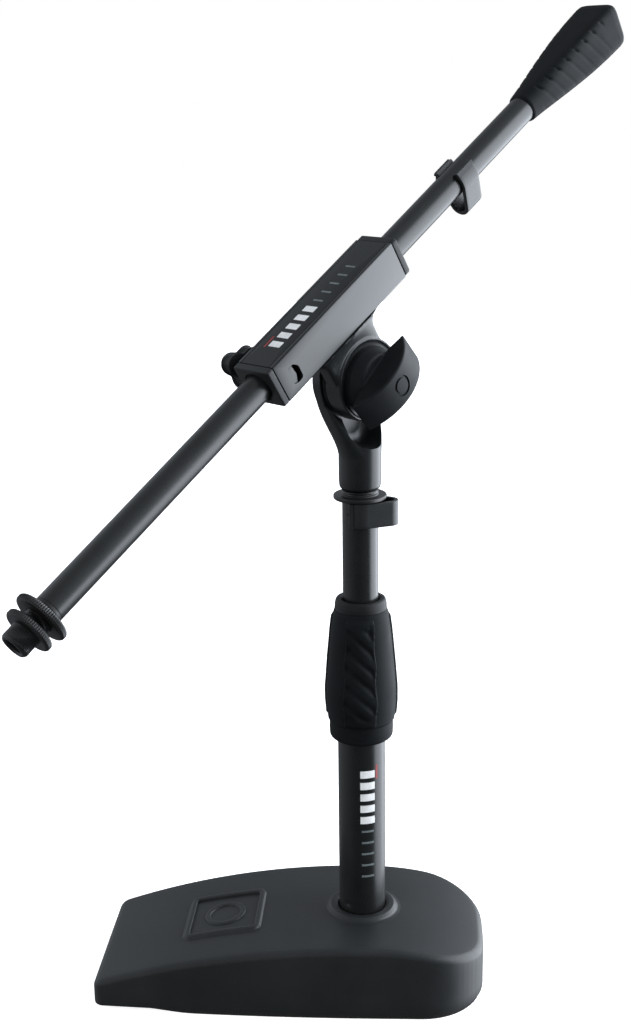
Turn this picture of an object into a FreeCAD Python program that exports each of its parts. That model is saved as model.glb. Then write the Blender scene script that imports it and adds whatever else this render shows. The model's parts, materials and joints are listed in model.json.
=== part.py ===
import FreeCAD, Part
import math
import os

"""Desktop microphone stand: a weighted base, a telescopic mast with a twist clutch, and a tilting boom.

Millimetres.  The origin is on the mast's axis, in the plane that the stand rests on.  +Z is up and +X runs
along the base towards its rounded rear end; the base's low front end is towards -X.
The boom is modelled lying along +X in its own frame and is then turned to its stored pose.
"""

Vector = FreeCAD.Vector
X_AXIS, Y_AXIS, Z_AXIS = Vector(1, 0, 0), Vector(0, 1, 0), Vector(0, 0, 1)

# ---- driving dimensions -------------------------------------------------------------------------------
# stored pose of the boom
BOOM_AZIMUTH = 47.7          # heading of the counterweight end, from +X towards +Y, degrees
BOOM_TILT = 32.4             # rise of the counterweight end above level, degrees

# base casting and its rubber pad
BASE_FRONT = -160.0          # straight low end
BASE_REAR = 74.0             # crown of the bowed rear end
BASE_FRONT_HALF = 48.5       # half widths at the front end, at the widest place and near the rear corners
BASE_MID_HALF = 53.5
BASE_REAR_HALF = 50.0
BASE_WIDEST_X = -60.0
BASE_REAR_CORNER = 38.0      # corner radii in plan
BASE_FRONT_CORNER = 6.0
CROWN_X = 5.0                # the top is two shallow arcs that meet at this crown line
CROWN_Z = 46.0
FRONT_ARC_RADIUS = 505.0
REAR_ARC_RADIUS = 179.0
TOP_EDGE_ROUND = 4.0
PAD_THICKNESS = 3.0
PAD_INSET = 1.5
PAD_FRONT = -134.0
CASTING_SKIN = 12.0          # iron left above the pocket under the front half

# mast
LOWER_TUBE_R, LOWER_TUBE_BORE = 14.0, 12.5
UPPER_TUBE_R, UPPER_TUBE_BORE = 10.3, 9.1
SOCKET_FLOOR_Z = 28.0        # the lower tube stands on this floor inside the base
LOWER_TUBE_TOP_Z = 205.0
UPPER_TUBE_FOOT_Z = 94.0
MAST_TOP_Z = 305.9           # upper end of the upper tube, under the flange
CLUTCH_FOOT_Z = 159.4
CLUTCH_TOP_Z = 246.2
RUNNING = 0.06               # radial play of a sliding or turning fit
AIR = 0.3                    # play between parts that only pass each other

# boom head and tilt pivot
THREAD_R = 15.875 / 2        # five-eighths inch microphone thread
SMALL_THREAD_R = 9.525 / 2   # three-eighths inch thread
HEAD_R = 12.1
HEAD_FOOT_Z = 311.6
PIVOT_Z = 375.0
PIVOT_SIDE = 4.5             # the two ears meet this far from the mast's axis
EAR_R = 24.0
EAR_OUTER = 9.5              # from the meeting plane to the ear's outer face
DISC_R, DISC_THICKNESS = 22.5, 1.1
BOLT_R = 4.0

# boom clamp, in the boom's frame
PIVOT_DROP = 42.0            # the boom's axis is this far above the pivot
CLAMP_HALF_LENGTH = 57.6
CLAMP_HALF_WIDTH = 13.6
CLAMP_HALF_HEIGHT = 11.7
CAP_THICKNESS = 4.6
CHANNEL_HALF_WIDTH = 11.2
CHANNEL_HALF_HEIGHT = 9.2
LOCK_X = -45.0               # station of the boom lock screw
LUG_OUTER = 9.8              # from the meeting plane to the lug's outer face

# boom
BOOM_R, BOOM_BORE = 8.0, 6.8
BOOM_FRONT, BOOM_REAR = -222.0, 262.0
LOCK_RING_R, LOCK_RING_X = 15.1, (-229.8, -225.3)
ADAPTER_R, ADAPTER_X = 13.6, (-238.5, -234.2)
LOCK_RING_TEETH, ADAPTER_TEETH = 48, 44
KNURL_DEPTH = 0.5
STUB_END_X = -248.0
GRIP_FRONT, GRIP_REAR = 197.5, 293.0
GRIP_FRONT_HALF, GRIP_REAR_HALF = 8.7, 14.0

# cable clips, the same design for both tubes
CLIP_WIDTH = 14.5
CLIP_WALL = 2.4
CLIP_LOOP_BORE = 4.2
CLIP_MOUTH = 39.0            # half angle of the gap that the tube is pushed in through, degrees
MAST_CLIP_Z, MAST_CLIP_REACH = 290.7, 15.4
BOOM_CLIP_X, BOOM_CLIP_REACH = 121.7, 14.6

# tilt knob, measured outwards from the meeting plane of the ears
KNOB_HUB_R = 19.0
KNOB_FOOT, KNOB_CREST = 11.6, 37.4
KNOB_HALF_LENGTH, KNOB_HALF_WIDTH = 26.5, 10.0
KNOB_TURN = 9.0              # the wing lies this much steeper than the boom, degrees


# ---- small helpers ------------------------------------------------------------------------------------
def rod(radius, start, end, axis=Z_AXIS, at=Vector(0, 0, 0)):
    """Solid cylinder between two stations along an axis through a point."""
    return Part.makeCylinder(radius, end - start, at + axis * start, axis)


def ring(outer, inner, start, end, axis=Z_AXIS, at=Vector(0, 0, 0)):
    """Plain tube between two stations."""
    return rod(outer, start, end, axis, at).cut(rod(inner, start - 1, end + 1, axis, at))


def box(low, high):
    """Box between two corners."""
    low, high = Vector(*low), Vector(*high)
    size = high - low
    return Part.makeBox(size.x, size.y, size.z, low)


def prism(points, direction):
    """Closed polygon pushed along a vector."""
    corners = [Vector(*p) for p in points]
    face = Part.Face(Part.makePolygon(corners + corners[:1]))
    return face.extrude(direction)


def turned(profile, axis=Z_AXIS):
    """Solid of revolution: profile holds (radius, station) pairs in order round the half section."""
    across = Y_AXIS if axis == X_AXIS else X_AXIS
    corners = [across * r + axis * s for r, s in profile]
    face = Part.Face(Part.makePolygon(corners + corners[:1]))
    return face.revolve(Vector(0, 0, 0), axis, 360)


def rounded(shape, radius, chosen):
    """Fillet the edges for which chosen(edge) is true."""
    return shape.makeFillet(radius, [edge for edge in shape.Edges if chosen(edge)])


def along(edge, axis):
    """True for a straight edge that lies along an axis."""
    if not isinstance(edge.Curve, Part.Line):
        return False
    return abs(edge.Curve.Direction.dot(axis)) > 0.999


def knurled(solid, radius, start, end, teeth, depth):
    """Cut straight grooves along +X round the rim of a disc."""
    for tooth in range(teeth):
        angle = 2 * math.pi * tooth / teeth
        centre = Vector(0, (radius + depth / 2) * math.cos(angle), (radius + depth / 2) * math.sin(angle))
        solid = solid.cut(rod(depth, start - 1, end + 1, X_AXIS, centre))
    return solid


# ---- frames of the stored pose ------------------------------------------------------------------------
def head_place():
    """Frame of the boom head: turned about the mast, +X under the boom, the pivot's axis along +Y."""
    return FreeCAD.Placement(Vector(0, 0, 0), FreeCAD.Rotation(Z_AXIS, BOOM_AZIMUTH))


def boom_place():
    """Frame of the boom: the origin is on the tube's axis above the pivot, +X towards the counterweight."""
    tilt = FreeCAD.Placement(Vector(0, PIVOT_SIDE, PIVOT_Z), FreeCAD.Rotation(Y_AXIS, -BOOM_TILT))
    lift = FreeCAD.Placement(Vector(0, 0, PIVOT_DROP), FreeCAD.Rotation())
    return head_place().multiply(tilt).multiply(lift)


NODES = {}


def keep(name, shape, place=None):
    """Store a finished piece under its node name, moved to its stored pose."""
    if place is not None:
        shape = shape.copy()
        shape.Placement = place.multiply(shape.Placement)
    NODES[name] = shape


# ---- base ---------------------------------------------------------------------------------------------
def base_prism(inset, low, high, front=BASE_FRONT):
    """The base's plan outline, drawn in by inset, as a straight-sided block."""
    front_x, rear_x = front + inset, BASE_REAR - inset
    side = [
        (front_x, BASE_FRONT_HALF - inset),
        (BASE_WIDEST_X, BASE_MID_HALF - inset),
        (rear_x - 1.5, BASE_REAR_HALF - inset),
    ]
    far = [Vector(x, y, low) for x, y in side]
    near = [Vector(x, -y, low) for x, y in side]
    edges = [
        Part.makeLine(near[0], far[0]),
        Part.Arc(*far).toShape(),
        Part.Arc(far[2], Vector(rear_x, 0, low), near[2]).toShape(),
        Part.Arc(*reversed(near)).toShape(),
    ]
    block = Part.Face(Part.Wire(edges)).extrude(Z_AXIS * (high - low))
    block = rounded(block, BASE_REAR_CORNER - inset, lambda e: along(e, Z_AXIS) and e.CenterOfMass.x > 0)
    return rounded(block, BASE_FRONT_CORNER, lambda e: along(e, Z_AXIS) and e.CenterOfMass.x < front_x + 1)


def crown_height(x):
    """Height of the domed top above the floor."""
    radius = FRONT_ARC_RADIUS if x < CROWN_X else REAR_ARC_RADIUS
    return CROWN_Z - radius + math.sqrt(radius ** 2 - (x - CROWN_X) ** 2)


def under_dome(drop):
    """Everything under the domed top, lowered by drop."""
    margin = 12.0
    stations = [BASE_FRONT - margin, (BASE_FRONT + CROWN_X) / 2, CROWN_X, BASE_REAR / 2, BASE_REAR + margin]
    tops = [Vector(x, -70, crown_height(x) - drop) for x in stations]
    floor = [Vector(tops[-1].x, -70, -5), Vector(tops[0].x, -70, -5)]
    edges = [
        Part.Arc(*tops[:3]).toShape(),
        Part.Arc(*tops[2:]).toShape(),
        Part.makePolygon([tops[-1], *floor, tops[0]]),
    ]
    return Part.Face(Part.Wire([edge for shape in edges for edge in shape.Edges])).extrude(Y_AXIS * 140)


def badge_frame():
    """Raised rounded-square frame on the front slope, tilted to lie on it."""
    outer, inner, corner, height = 23.5, 19.5, 5.0, 3.0
    sunk = 2.0
    centre_x = -85.0
    frame = box((-outer, -outer, -sunk), (outer, outer, height - sunk))
    frame = rounded(frame, corner, lambda e: along(e, Z_AXIS))
    hole = box((-inner, -inner, -sunk - 1), (inner, inner, height))
    hole = rounded(hole, corner - 2, lambda e: along(e, Z_AXIS))
    frame = frame.cut(hole)
    slope = math.degrees(math.asin((CROWN_X - centre_x) / FRONT_ARC_RADIUS))
    frame.Placement = FreeCAD.Placement(Vector(centre_x, 0, crown_height(centre_x)),
                                        FreeCAD.Rotation(Y_AXIS, -slope))
    return frame


def build_base():
    """Iron casting, rubber pad, and the bolt that holds the mast from below."""
    body = base_prism(0, PAD_THICKNESS, 70).common(under_dome(0))
    body = rounded(body, TOP_EDGE_ROUND,
                   lambda e: not along(e, Z_AXIS) and e.BoundBox.ZMin > PAD_THICKNESS + 5
                   and e.CenterOfMass.distanceToPoint(Vector(CROWN_X, 0, CROWN_Z)) > 20)
    collar_r, bead_top = 21.2, 48.4
    bead = turned([(LOWER_TUBE_R, 40), (collar_r, 40), (collar_r, 45.9), (collar_r - 0.9, 47.4),
                   (collar_r - 2.6, bead_top), (collar_r - 4.6, bead_top), (LOWER_TUBE_R + 0.9, 47.4),
                   (LOWER_TUBE_R, 46.6)])
    body = body.fuse([bead, badge_frame()]).removeSplitter()
    pocket = box((-126, -40, 0), (-32, 40, 60)).common(under_dome(CASTING_SKIN))
    pocket = rounded(pocket, 10, lambda e: along(e, Z_AXIS))
    washer_seat, washer_r, washer_t, head_r, head_t = 14.0, 13.0, 2.5, 8.5, 6.4
    cuts = [
        pocket,
        rod(LOWER_TUBE_R + 0.1, SOCKET_FLOOR_Z, 70),
        rod(17.0, 0, washer_seat),
        rod(5.5, washer_seat - 1, SOCKET_FLOOR_Z + 1),
    ]
    keep("base_casting", body.cut(cuts))

    keep("base_pad", base_prism(PAD_INSET, 0, PAD_THICKNESS, PAD_FRONT))

    keep("mast_bolt_washer", ring(washer_r, 5.2, washer_seat - washer_t, washer_seat))
    head_top = washer_seat - washer_t
    hexagon = [(head_r * math.cos(math.radians(a)), head_r * math.sin(math.radians(a)), head_top - head_t)
               for a in range(0, 360, 60)]
    shank_end = 46.0
    bolt = prism(hexagon, Z_AXIS * head_t).fuse(rod(5.0, head_top, shank_end))
    keep("mast_bolt", bolt.removeSplitter())


# ---- mast ---------------------------------------------------------------------------------------------
def build_mast():
    """Two steel tubes, their plugs and bush, and the flanged stud that carries the boom head."""
    keep("lower_tube", ring(LOWER_TUBE_R, LOWER_TUBE_BORE, SOCKET_FLOOR_Z, LOWER_TUBE_TOP_Z))
    keep("lower_tube_plug", ring(LOWER_TUBE_BORE - 0.02, 5.05, SOCKET_FLOOR_Z, 50.0))
    keep("upper_tube", ring(UPPER_TUBE_R, UPPER_TUBE_BORE, UPPER_TUBE_FOOT_Z, MAST_TOP_Z))
    bush_top = UPPER_TUBE_FOOT_Z + 20
    bush = ring(LOWER_TUBE_BORE - RUNNING, UPPER_TUBE_R, UPPER_TUBE_FOOT_Z, bush_top)
    groove = ring(LOWER_TUBE_BORE + 1, LOWER_TUBE_BORE - 1, UPPER_TUBE_FOOT_Z + 8, bush_top - 8)
    keep("upper_tube_bush", bush.cut(groove))

    flange_r, flange_t, neck_r = 15.3, 2.5, 10.5
    flange_top = MAST_TOP_Z + flange_t
    stud_top = HEAD_FOOT_Z + 18.5
    keep("mast_top_stud", turned([
        (0, MAST_TOP_Z - 26), (UPPER_TUBE_BORE - 0.02, MAST_TOP_Z - 26), (UPPER_TUBE_BORE - 0.02, MAST_TOP_Z),
        (flange_r - 0.6, MAST_TOP_Z), (flange_r, MAST_TOP_Z + 0.6), (flange_r, flange_top - 0.6),
        (flange_r - 0.6, flange_top), (neck_r, flange_top), (neck_r, HEAD_FOOT_Z - 0.2),
        (THREAD_R, HEAD_FOOT_Z - 0.2), (THREAD_R, stud_top - 1), (THREAD_R - 1, stud_top), (0, stud_top)]))


def build_clutch():
    """Twist clutch: a sleeve and split collet on the lower tube, and a gripped nut that squeezes them."""
    bore = UPPER_TUBE_R + RUNNING
    shoulder_top = LOWER_TUBE_TOP_Z + 4
    keep("clutch_sleeve", turned([
        (LOWER_TUBE_R, CLUTCH_FOOT_Z + 4), (15.7, CLUTCH_FOOT_Z + 4), (15.7, LOWER_TUBE_TOP_Z - 8),
        (14.9, shoulder_top), (bore, shoulder_top), (bore, LOWER_TUBE_TOP_Z),
        (LOWER_TUBE_R, LOWER_TUBE_TOP_Z)]))

    collet_top = 238.0
    collet = turned([(bore, shoulder_top), (14.9, shoulder_top), (12.6, collet_top), (bore, collet_top)])
    for angle in range(0, 180, 60):
        slit = box((-20, -0.75, shoulder_top + 5), (20, 0.75, collet_top + 1))
        slit.rotate(Vector(0, 0, 0), Z_AXIS, angle)
        collet = collet.cut(slit)
    keep("clutch_collet", collet)

    cap_foot = 240.0
    keep("clutch_nut", turned([
        (16.0, CLUTCH_FOOT_Z + 2), (17.4, CLUTCH_FOOT_Z + 2), (17.4, 196.0), (14.2, cap_foot),
        (13.2, cap_foot), (16.0, 199.0)]))
    grip = turned([
        (14.0 + AIR, CLUTCH_FOOT_Z), (16.4, CLUTCH_FOOT_Z), (18.2, 161.2), (18.9, 163.5), (18.9, 170.5),
        (20.6, 173.5), (21.4, 183.0), (21.4, 190.0), (20.3, 204.0), (18.4, 226.0), (16.8, 238.5),
        (16.0, cap_foot), (14.2, cap_foot), (17.4, 196.0), (17.4, CLUTCH_FOOT_Z + 2),
        (14.0 + AIR, CLUTCH_FOOT_Z + 2)])
    keep("clutch_grip", grip)
    keep("clutch_cap", turned([
        (bore + AIR, cap_foot), (15.4, cap_foot), (14.9, 243.8), (13.8, 245.7), (12.9, CLUTCH_TOP_Z),
        (bore + AIR + 0.5, CLUTCH_TOP_Z), (bore + AIR, 245.7)]))


# ---- cable clips --------------------------------------------------------------------------------------
def teardrop(tube_r, loop_r, reach):
    """Block round a tube's circle and a cable loop's circle, with flat flanks that touch both."""
    half_angle = math.acos((tube_r - loop_r) / reach)
    tangent = Vector(math.cos(half_angle), math.sin(half_angle), 0)
    flank = [tangent * tube_r, Vector(reach, 0, 0) + tangent * loop_r]
    mirrored = [Vector(p.x, -p.y, 0) for p in reversed(flank)]
    web = prism([tuple(p) for p in flank + mirrored], Z_AXIS * CLIP_WIDTH)
    loop = rod(loop_r, 0, CLIP_WIDTH, at=Vector(reach, 0, 0))
    return rod(tube_r, 0, CLIP_WIDTH).fuse([web, loop]).removeSplitter()


def cable_clip(tube_r, reach):
    """Springy band pushed along +Z: a C round the tube, open towards -X, and a cable loop towards +X."""
    hug = tube_r + RUNNING
    outside = teardrop(hug + CLIP_WALL, CLIP_LOOP_BORE + CLIP_WALL, reach)
    inside = teardrop(hug, CLIP_LOOP_BORE, reach)
    inside.translate(Z_AXIS * -1)
    inside = inside.fuse(inside.translated(Z_AXIS * 2)).removeSplitter()
    far, spread = 30.0, 30.0 * math.tan(math.radians(CLIP_MOUTH))
    mouth = prism([(0, 0, -1), (-far, spread, -1), (-far, -spread, -1)], Z_AXIS * (CLIP_WIDTH + 2))
    lip_r = CLIP_WALL / 2 + 0.2
    lip_angle = math.radians(180 - CLIP_MOUTH - 2)
    lips = []
    for side in (1, -1):
        root = Vector(math.cos(lip_angle), side * math.sin(lip_angle), 0) * (hug + CLIP_WALL * 0.8)
        lips.append(rod(lip_r, 0, CLIP_WIDTH, at=root))
    clip = outside.cut([inside, mouth]).fuse(lips)
    return clip.cut(rod(hug, -1, CLIP_WIDTH + 1)).removeSplitter()


def build_clips():
    """One clip under the mast's flange, one on the boom behind the clamp."""
    mast_clip = cable_clip(UPPER_TUBE_R, MAST_CLIP_REACH)
    keep("mast_cable_clip", mast_clip, FreeCAD.Placement(Vector(0, 0, MAST_CLIP_Z), FreeCAD.Rotation()))
    boom_clip = cable_clip(BOOM_R, BOOM_CLIP_REACH)
    lie_down = FreeCAD.Placement(Vector(BOOM_CLIP_X, 0, 0), FreeCAD.Rotation(Y_AXIS, 90))
    keep("boom_cable_clip", boom_clip, boom_place().multiply(lie_down))


# ---- boom head and tilt pivot -------------------------------------------------------------------------
def build_head():
    """Casting that screws onto the mast and rises into a round ear, with the pivot bolt through it."""
    inner_face = PIVOT_SIDE + 2.4
    outer_face = PIVOT_SIDE + EAR_OUTER
    pivot = Vector(0, 0, PIVOT_Z)
    flare_z, post_top = 333.0, 352.0
    post = turned([(0, HEAD_FOOT_Z), (HEAD_R - 1.5, HEAD_FOOT_Z), (HEAD_R, HEAD_FOOT_Z + 1.8),
                   (HEAD_R, post_top), (0, post_top)])
    lean = math.asin((EAR_R - HEAD_R) / (PIVOT_Z - flare_z))
    side_x, side_z = EAR_R * math.cos(lean), PIVOT_Z - EAR_R * math.sin(lean)
    neck = prism([(-HEAD_R, inner_face, flare_z), (HEAD_R, inner_face, flare_z), (side_x, inner_face, side_z),
                  (-side_x, inner_face, side_z)], Y_AXIS * (outer_face - inner_face))
    ear = rod(EAR_R, inner_face, outer_face, Y_AXIS, pivot)
    seat = rod(DISC_R, PIVOT_SIDE + 0.1 + DISC_THICKNESS, inner_face, Y_AXIS, pivot)
    scoop_r, scoop_floor = 12.0, 335.0
    side, front, above = 30.0, -40.0, 410.0
    bend = scoop_r * (1 - math.sqrt(0.5))
    arc_start = Vector(-side, inner_face - scoop_r, scoop_floor)
    arc_end = Vector(-side, inner_face, scoop_floor + scoop_r)
    arc_mid = Vector(-side, inner_face - bend, scoop_floor + bend)
    scoop_edges = [Part.Arc(arc_start, arc_mid, arc_end).toShape()]
    scoop_edges += Part.makePolygon([arc_end, Vector(-side, inner_face, above), Vector(-side, front, above),
                                     Vector(-side, front, scoop_floor), arc_start]).Edges
    scoop = Part.Face(Part.Wire(scoop_edges)).extrude(X_AXIS * 2 * side)
    head = post.fuse([neck, ear]).cut(scoop).fuse(seat).removeSplitter()
    recess_r, recess_depth = 8.2, 5.6
    head = head.cut([
        rod(THREAD_R + RUNNING, HEAD_FOOT_Z - 1, HEAD_FOOT_Z + 20),
        rod(BOLT_R + 0.05, -10, 30, Y_AXIS, pivot),
        rod(recess_r, outer_face - recess_depth, outer_face + 5, Y_AXIS, pivot),
    ])
    keep("boom_head", head, head_place())

    keep("ear_friction_disc", ring(DISC_R, BOLT_R + 1, PIVOT_SIDE + 0.1, PIVOT_SIDE + 0.1 + DISC_THICKNESS,
                                   Y_AXIS, pivot), head_place())
    head_r = 7.5
    hexagon = [(head_r * math.cos(math.radians(a)), outer_face - recess_depth,
                PIVOT_Z + head_r * math.sin(math.radians(a))) for a in range(0, 360, 60)]
    shank_end = PIVOT_SIDE - 27.0
    bolt = prism(hexagon, Y_AXIS * (recess_depth - 0.3))
    bolt = bolt.fuse(rod(BOLT_R, shank_end, outer_face - recess_depth, Y_AXIS, pivot)).removeSplitter()
    keep("pivot_bolt", bolt, head_place())


def build_tilt_knob():
    """Wing knob on the pivot bolt: brass insert, nylon core and soft cover."""
    place = boom_place().multiply(FreeCAD.Placement(Vector(0, 0, -PIVOT_DROP),
                                                    FreeCAD.Rotation(Y_AXIS, -KNOB_TURN)))
    foot, crest = -KNOB_FOOT, -KNOB_CREST
    insert_r, insert_end = 6.0, -26.0
    keep("tilt_knob_insert", ring(insert_r, BOLT_R + RUNNING, insert_end, foot, Y_AXIS), place)

    core_r, core_end = 8.8, -24.0
    core = rod(core_r, core_end, foot - 0.2, Y_AXIS).cut(rod(insert_r, core_end - 1, foot + 1, Y_AXIS))
    keep("tilt_knob_core", core, place)

    tip_y, waist_y = foot - 13.9, foot - 9.4
    inner = [Vector(-KNOB_HALF_LENGTH, tip_y, -KNOB_HALF_WIDTH), Vector(-15.5, waist_y, -KNOB_HALF_WIDTH),
             Vector(15.5, waist_y, -KNOB_HALF_WIDTH), Vector(KNOB_HALF_LENGTH, tip_y, -KNOB_HALF_WIDTH)]
    crown = Part.Arc(inner[3], Vector(0, crest, -KNOB_HALF_WIDTH), inner[0]).toShape()
    wing = Part.Face(Part.Wire(Part.makePolygon(inner).Edges + [crown])).extrude(Z_AXIS * 2 * KNOB_HALF_WIDTH)
    wing = rounded(wing, 1.5, lambda e: along(e, Z_AXIS) and abs(e.CenterOfMass.x) > 20)
    hub = turned([(KNOB_HUB_R, foot - 0.2), (KNOB_HUB_R, foot - 4.0), (16.0, foot - 10.6), (0, foot - 10.6),
                  (0, foot - 0.2)], Y_AXIS)
    cover = wing.fuse(hub)
    cover = cover.cut([rod(core_r, core_end, foot + 1, Y_AXIS),
                       rod(insert_r, insert_end - 1.0, foot, Y_AXIS)])
    keep("tilt_knob_cover", cover.removeSplitter(), place)


# ---- boom clamp ---------------------------------------------------------------------------------------
def build_clamp():
    """Box-shaped clamp round the boom, with the lug that tilts on the pivot underneath."""
    place = boom_place()
    wide, tall = CLAMP_HALF_WIDTH, CLAMP_HALF_HEIGHT
    inner_x = CLAMP_HALF_LENGTH - CAP_THICKNESS
    cover_t, cover_half = 1.5, 11.0

    housing = box((-inner_x, -wide, -tall), (inner_x, wide, tall))
    housing = rounded(housing, 1.2, lambda e: along(e, X_AXIS))
    window_x, window_z = (-45.5, -38.0), (-7.0, 4.0)
    housing = housing.cut([
        box((-inner_x - 1, -CHANNEL_HALF_WIDTH, -CHANNEL_HALF_HEIGHT),
            (inner_x + 1, CHANNEL_HALF_WIDTH, CHANNEL_HALF_HEIGHT)),
        box((-inner_x - 1, -cover_half, tall - cover_t), (inner_x + 1, cover_half, tall + 1)),
        box((window_x[0], -wide - 1, window_z[0]), (window_x[1], -CHANNEL_HALF_WIDTH + 1, window_z[1])),
        rod(3.05, 5, wide + 2, Y_AXIS, Vector(LOCK_X, 0, 0)),
    ])
    keep("clamp_housing", housing, place)
    keep("clamp_cover", box((-inner_x, -cover_half, tall - cover_t), (inner_x, cover_half, tall)), place)

    bush_outer, bush_inner = 9.1, BOOM_R + RUNNING
    bush_length = 9.0
    for name, side in (("front", -1), ("rear", 1)):
        near, far = sorted((side * inner_x, side * CLAMP_HALF_LENGTH))
        cap = box((near, -wide, -tall), (far, wide, tall))
        cap = rounded(cap, 2.0, lambda e: along(e, X_AXIS))
        end_x = side * CLAMP_HALF_LENGTH
        cap = rounded(cap, 1.0, lambda e: abs(e.BoundBox.XMin - end_x) < 0.01 and e.BoundBox.XLength < 0.01)
        cap = cap.cut(rod(bush_outer, near - 1, far + 1, X_AXIS))
        keep(f"clamp_cap_{name}", cap, place)
        bush_end = CLAMP_HALF_LENGTH - 0.6
        start, end = sorted((side * bush_end, side * (bush_end - bush_length)))
        keep(f"clamp_bush_{name}", ring(bush_outer, bush_inner, start, end, X_AXIS), place)

    shoe_x = (LOCK_X - 2.5, LOCK_X + 17.0)
    shoe_z = CHANNEL_HALF_HEIGHT - 0.1
    shoe = box((shoe_x[0], 3.5, -shoe_z), (shoe_x[1], CHANNEL_HALF_WIDTH - 0.4, shoe_z))
    shoe = shoe.cut(rod(BOOM_R + AIR, shoe_x[0] - 1, shoe_x[1] + 1, X_AXIS))
    keep("clamp_shoe", shoe, place)
    latch_end, inner_wall = window_x[0] + 4.6, -CHANNEL_HALF_WIDTH
    latch = box((window_x[0] + 0.2, -wide + 0.6, window_z[0] + 0.4),
                (latch_end, inner_wall + 0.4, window_z[1] - 0.4))
    spring = box((window_x[0] - 4.0, inner_wall + 0.05, window_z[0]),
                 (latch_end, inner_wall + 0.85, window_z[1]))
    keep("clamp_latch", latch.fuse(spring).removeSplitter(), place)

    saddle_half_x, lug_half, saddle_t = 30.5, 20.0, 3.0
    top, pivot = -tall, Vector(0, 0, -PIVOT_DROP)
    inner_y = -0.1 - DISC_THICKNESS
    saddle_y, foot_half_x = wide - 0.4, saddle_half_x - saddle_t
    saddle = prism([(-saddle_half_x, -saddle_y, top), (saddle_half_x, -saddle_y, top),
                    (foot_half_x, -saddle_y, top - saddle_t), (-foot_half_x, -saddle_y, top - saddle_t)],
                   Y_AXIS * 2 * saddle_y)
    web = box((-lug_half, -LUG_OUTER, -PIVOT_DROP), (lug_half, inner_y, top - 1))
    disc = rod(EAR_R - 0.5, -LUG_OUTER, inner_y, Y_AXIS, pivot)
    lug = saddle.fuse([web, disc]).removeSplitter()
    screw_x, screw_r = 24.0, 2.0
    lug = lug.cut([rod(BOLT_R + RUNNING, -30, 30, Y_AXIS, pivot)]
                  + [rod(screw_r + 0.1, -30, 0, Z_AXIS, Vector(x, 0, 0)) for x in (-screw_x, screw_x)])
    keep("clamp_lug", lug, place)
    keep("lug_friction_disc", ring(DISC_R, BOLT_R + 1, -0.1 - DISC_THICKNESS, -0.1, Y_AXIS, pivot), place)
    keep("pivot_washer", ring(9.0, BOLT_R + RUNNING, -LUG_OUTER - 1.5, -LUG_OUTER, Y_AXIS, pivot), place)
    screws = []
    for x in (-screw_x, screw_x):
        at = Vector(x, 0, 0)
        head = rod(3.2, top - saddle_t - 2.2, top - saddle_t, Z_AXIS, at)
        screws.append(head.fuse(rod(screw_r, top - saddle_t, top, Z_AXIS, at)).removeSplitter())
    keep("saddle_screws", Part.makeCompound(screws), place)


def build_boom_lock():
    """Three-lobed hand screw that presses the shoe against the boom."""
    place = boom_place().multiply(FreeCAD.Placement(Vector(LOCK_X, 0, 0), FreeCAD.Rotation()))
    knob_start, knob_end, hub_r, lobe_r, lobe_reach = 17.5, 28.0, 6.5, 4.4, 7.2
    keep("boom_lock_stud", rod(3.0 - 0.01, CHANNEL_HALF_WIDTH - 0.2, knob_end - 2, Y_AXIS), place)
    knob = rod(hub_r, knob_start, knob_end, Y_AXIS)
    for angle in (10, 130, 250):
        spot = Vector(math.cos(math.radians(angle)), 0, math.sin(math.radians(angle))) * lobe_reach
        knob = knob.fuse(rod(lobe_r, knob_start + 4, knob_end, Y_AXIS, spot))
    keep("boom_lock_knob", knob.cut(rod(3.0, 0, knob_end - 2, Y_AXIS)).removeSplitter(), place)


# ---- boom ---------------------------------------------------------------------------------------------
def rounded_square(x, half, corner):
    """Closed outline across the boom at station x."""
    flat = half - corner
    bend = flat + corner * math.sqrt(0.5)
    edges = []
    for quarter in range(4):
        turn = FreeCAD.Rotation(X_AXIS, 90 * quarter)
        spin = [Vector(x, half, -flat), Vector(x, half, flat), Vector(x, bend, bend), Vector(x, flat, half)]
        spin = [turn.multVec(p) for p in spin]
        edges.append(Part.makeLine(spin[0], spin[1]))
        edges.append(Part.Arc(spin[1], spin[2], spin[3]).toShape())
    return Part.Wire(edges)


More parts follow.
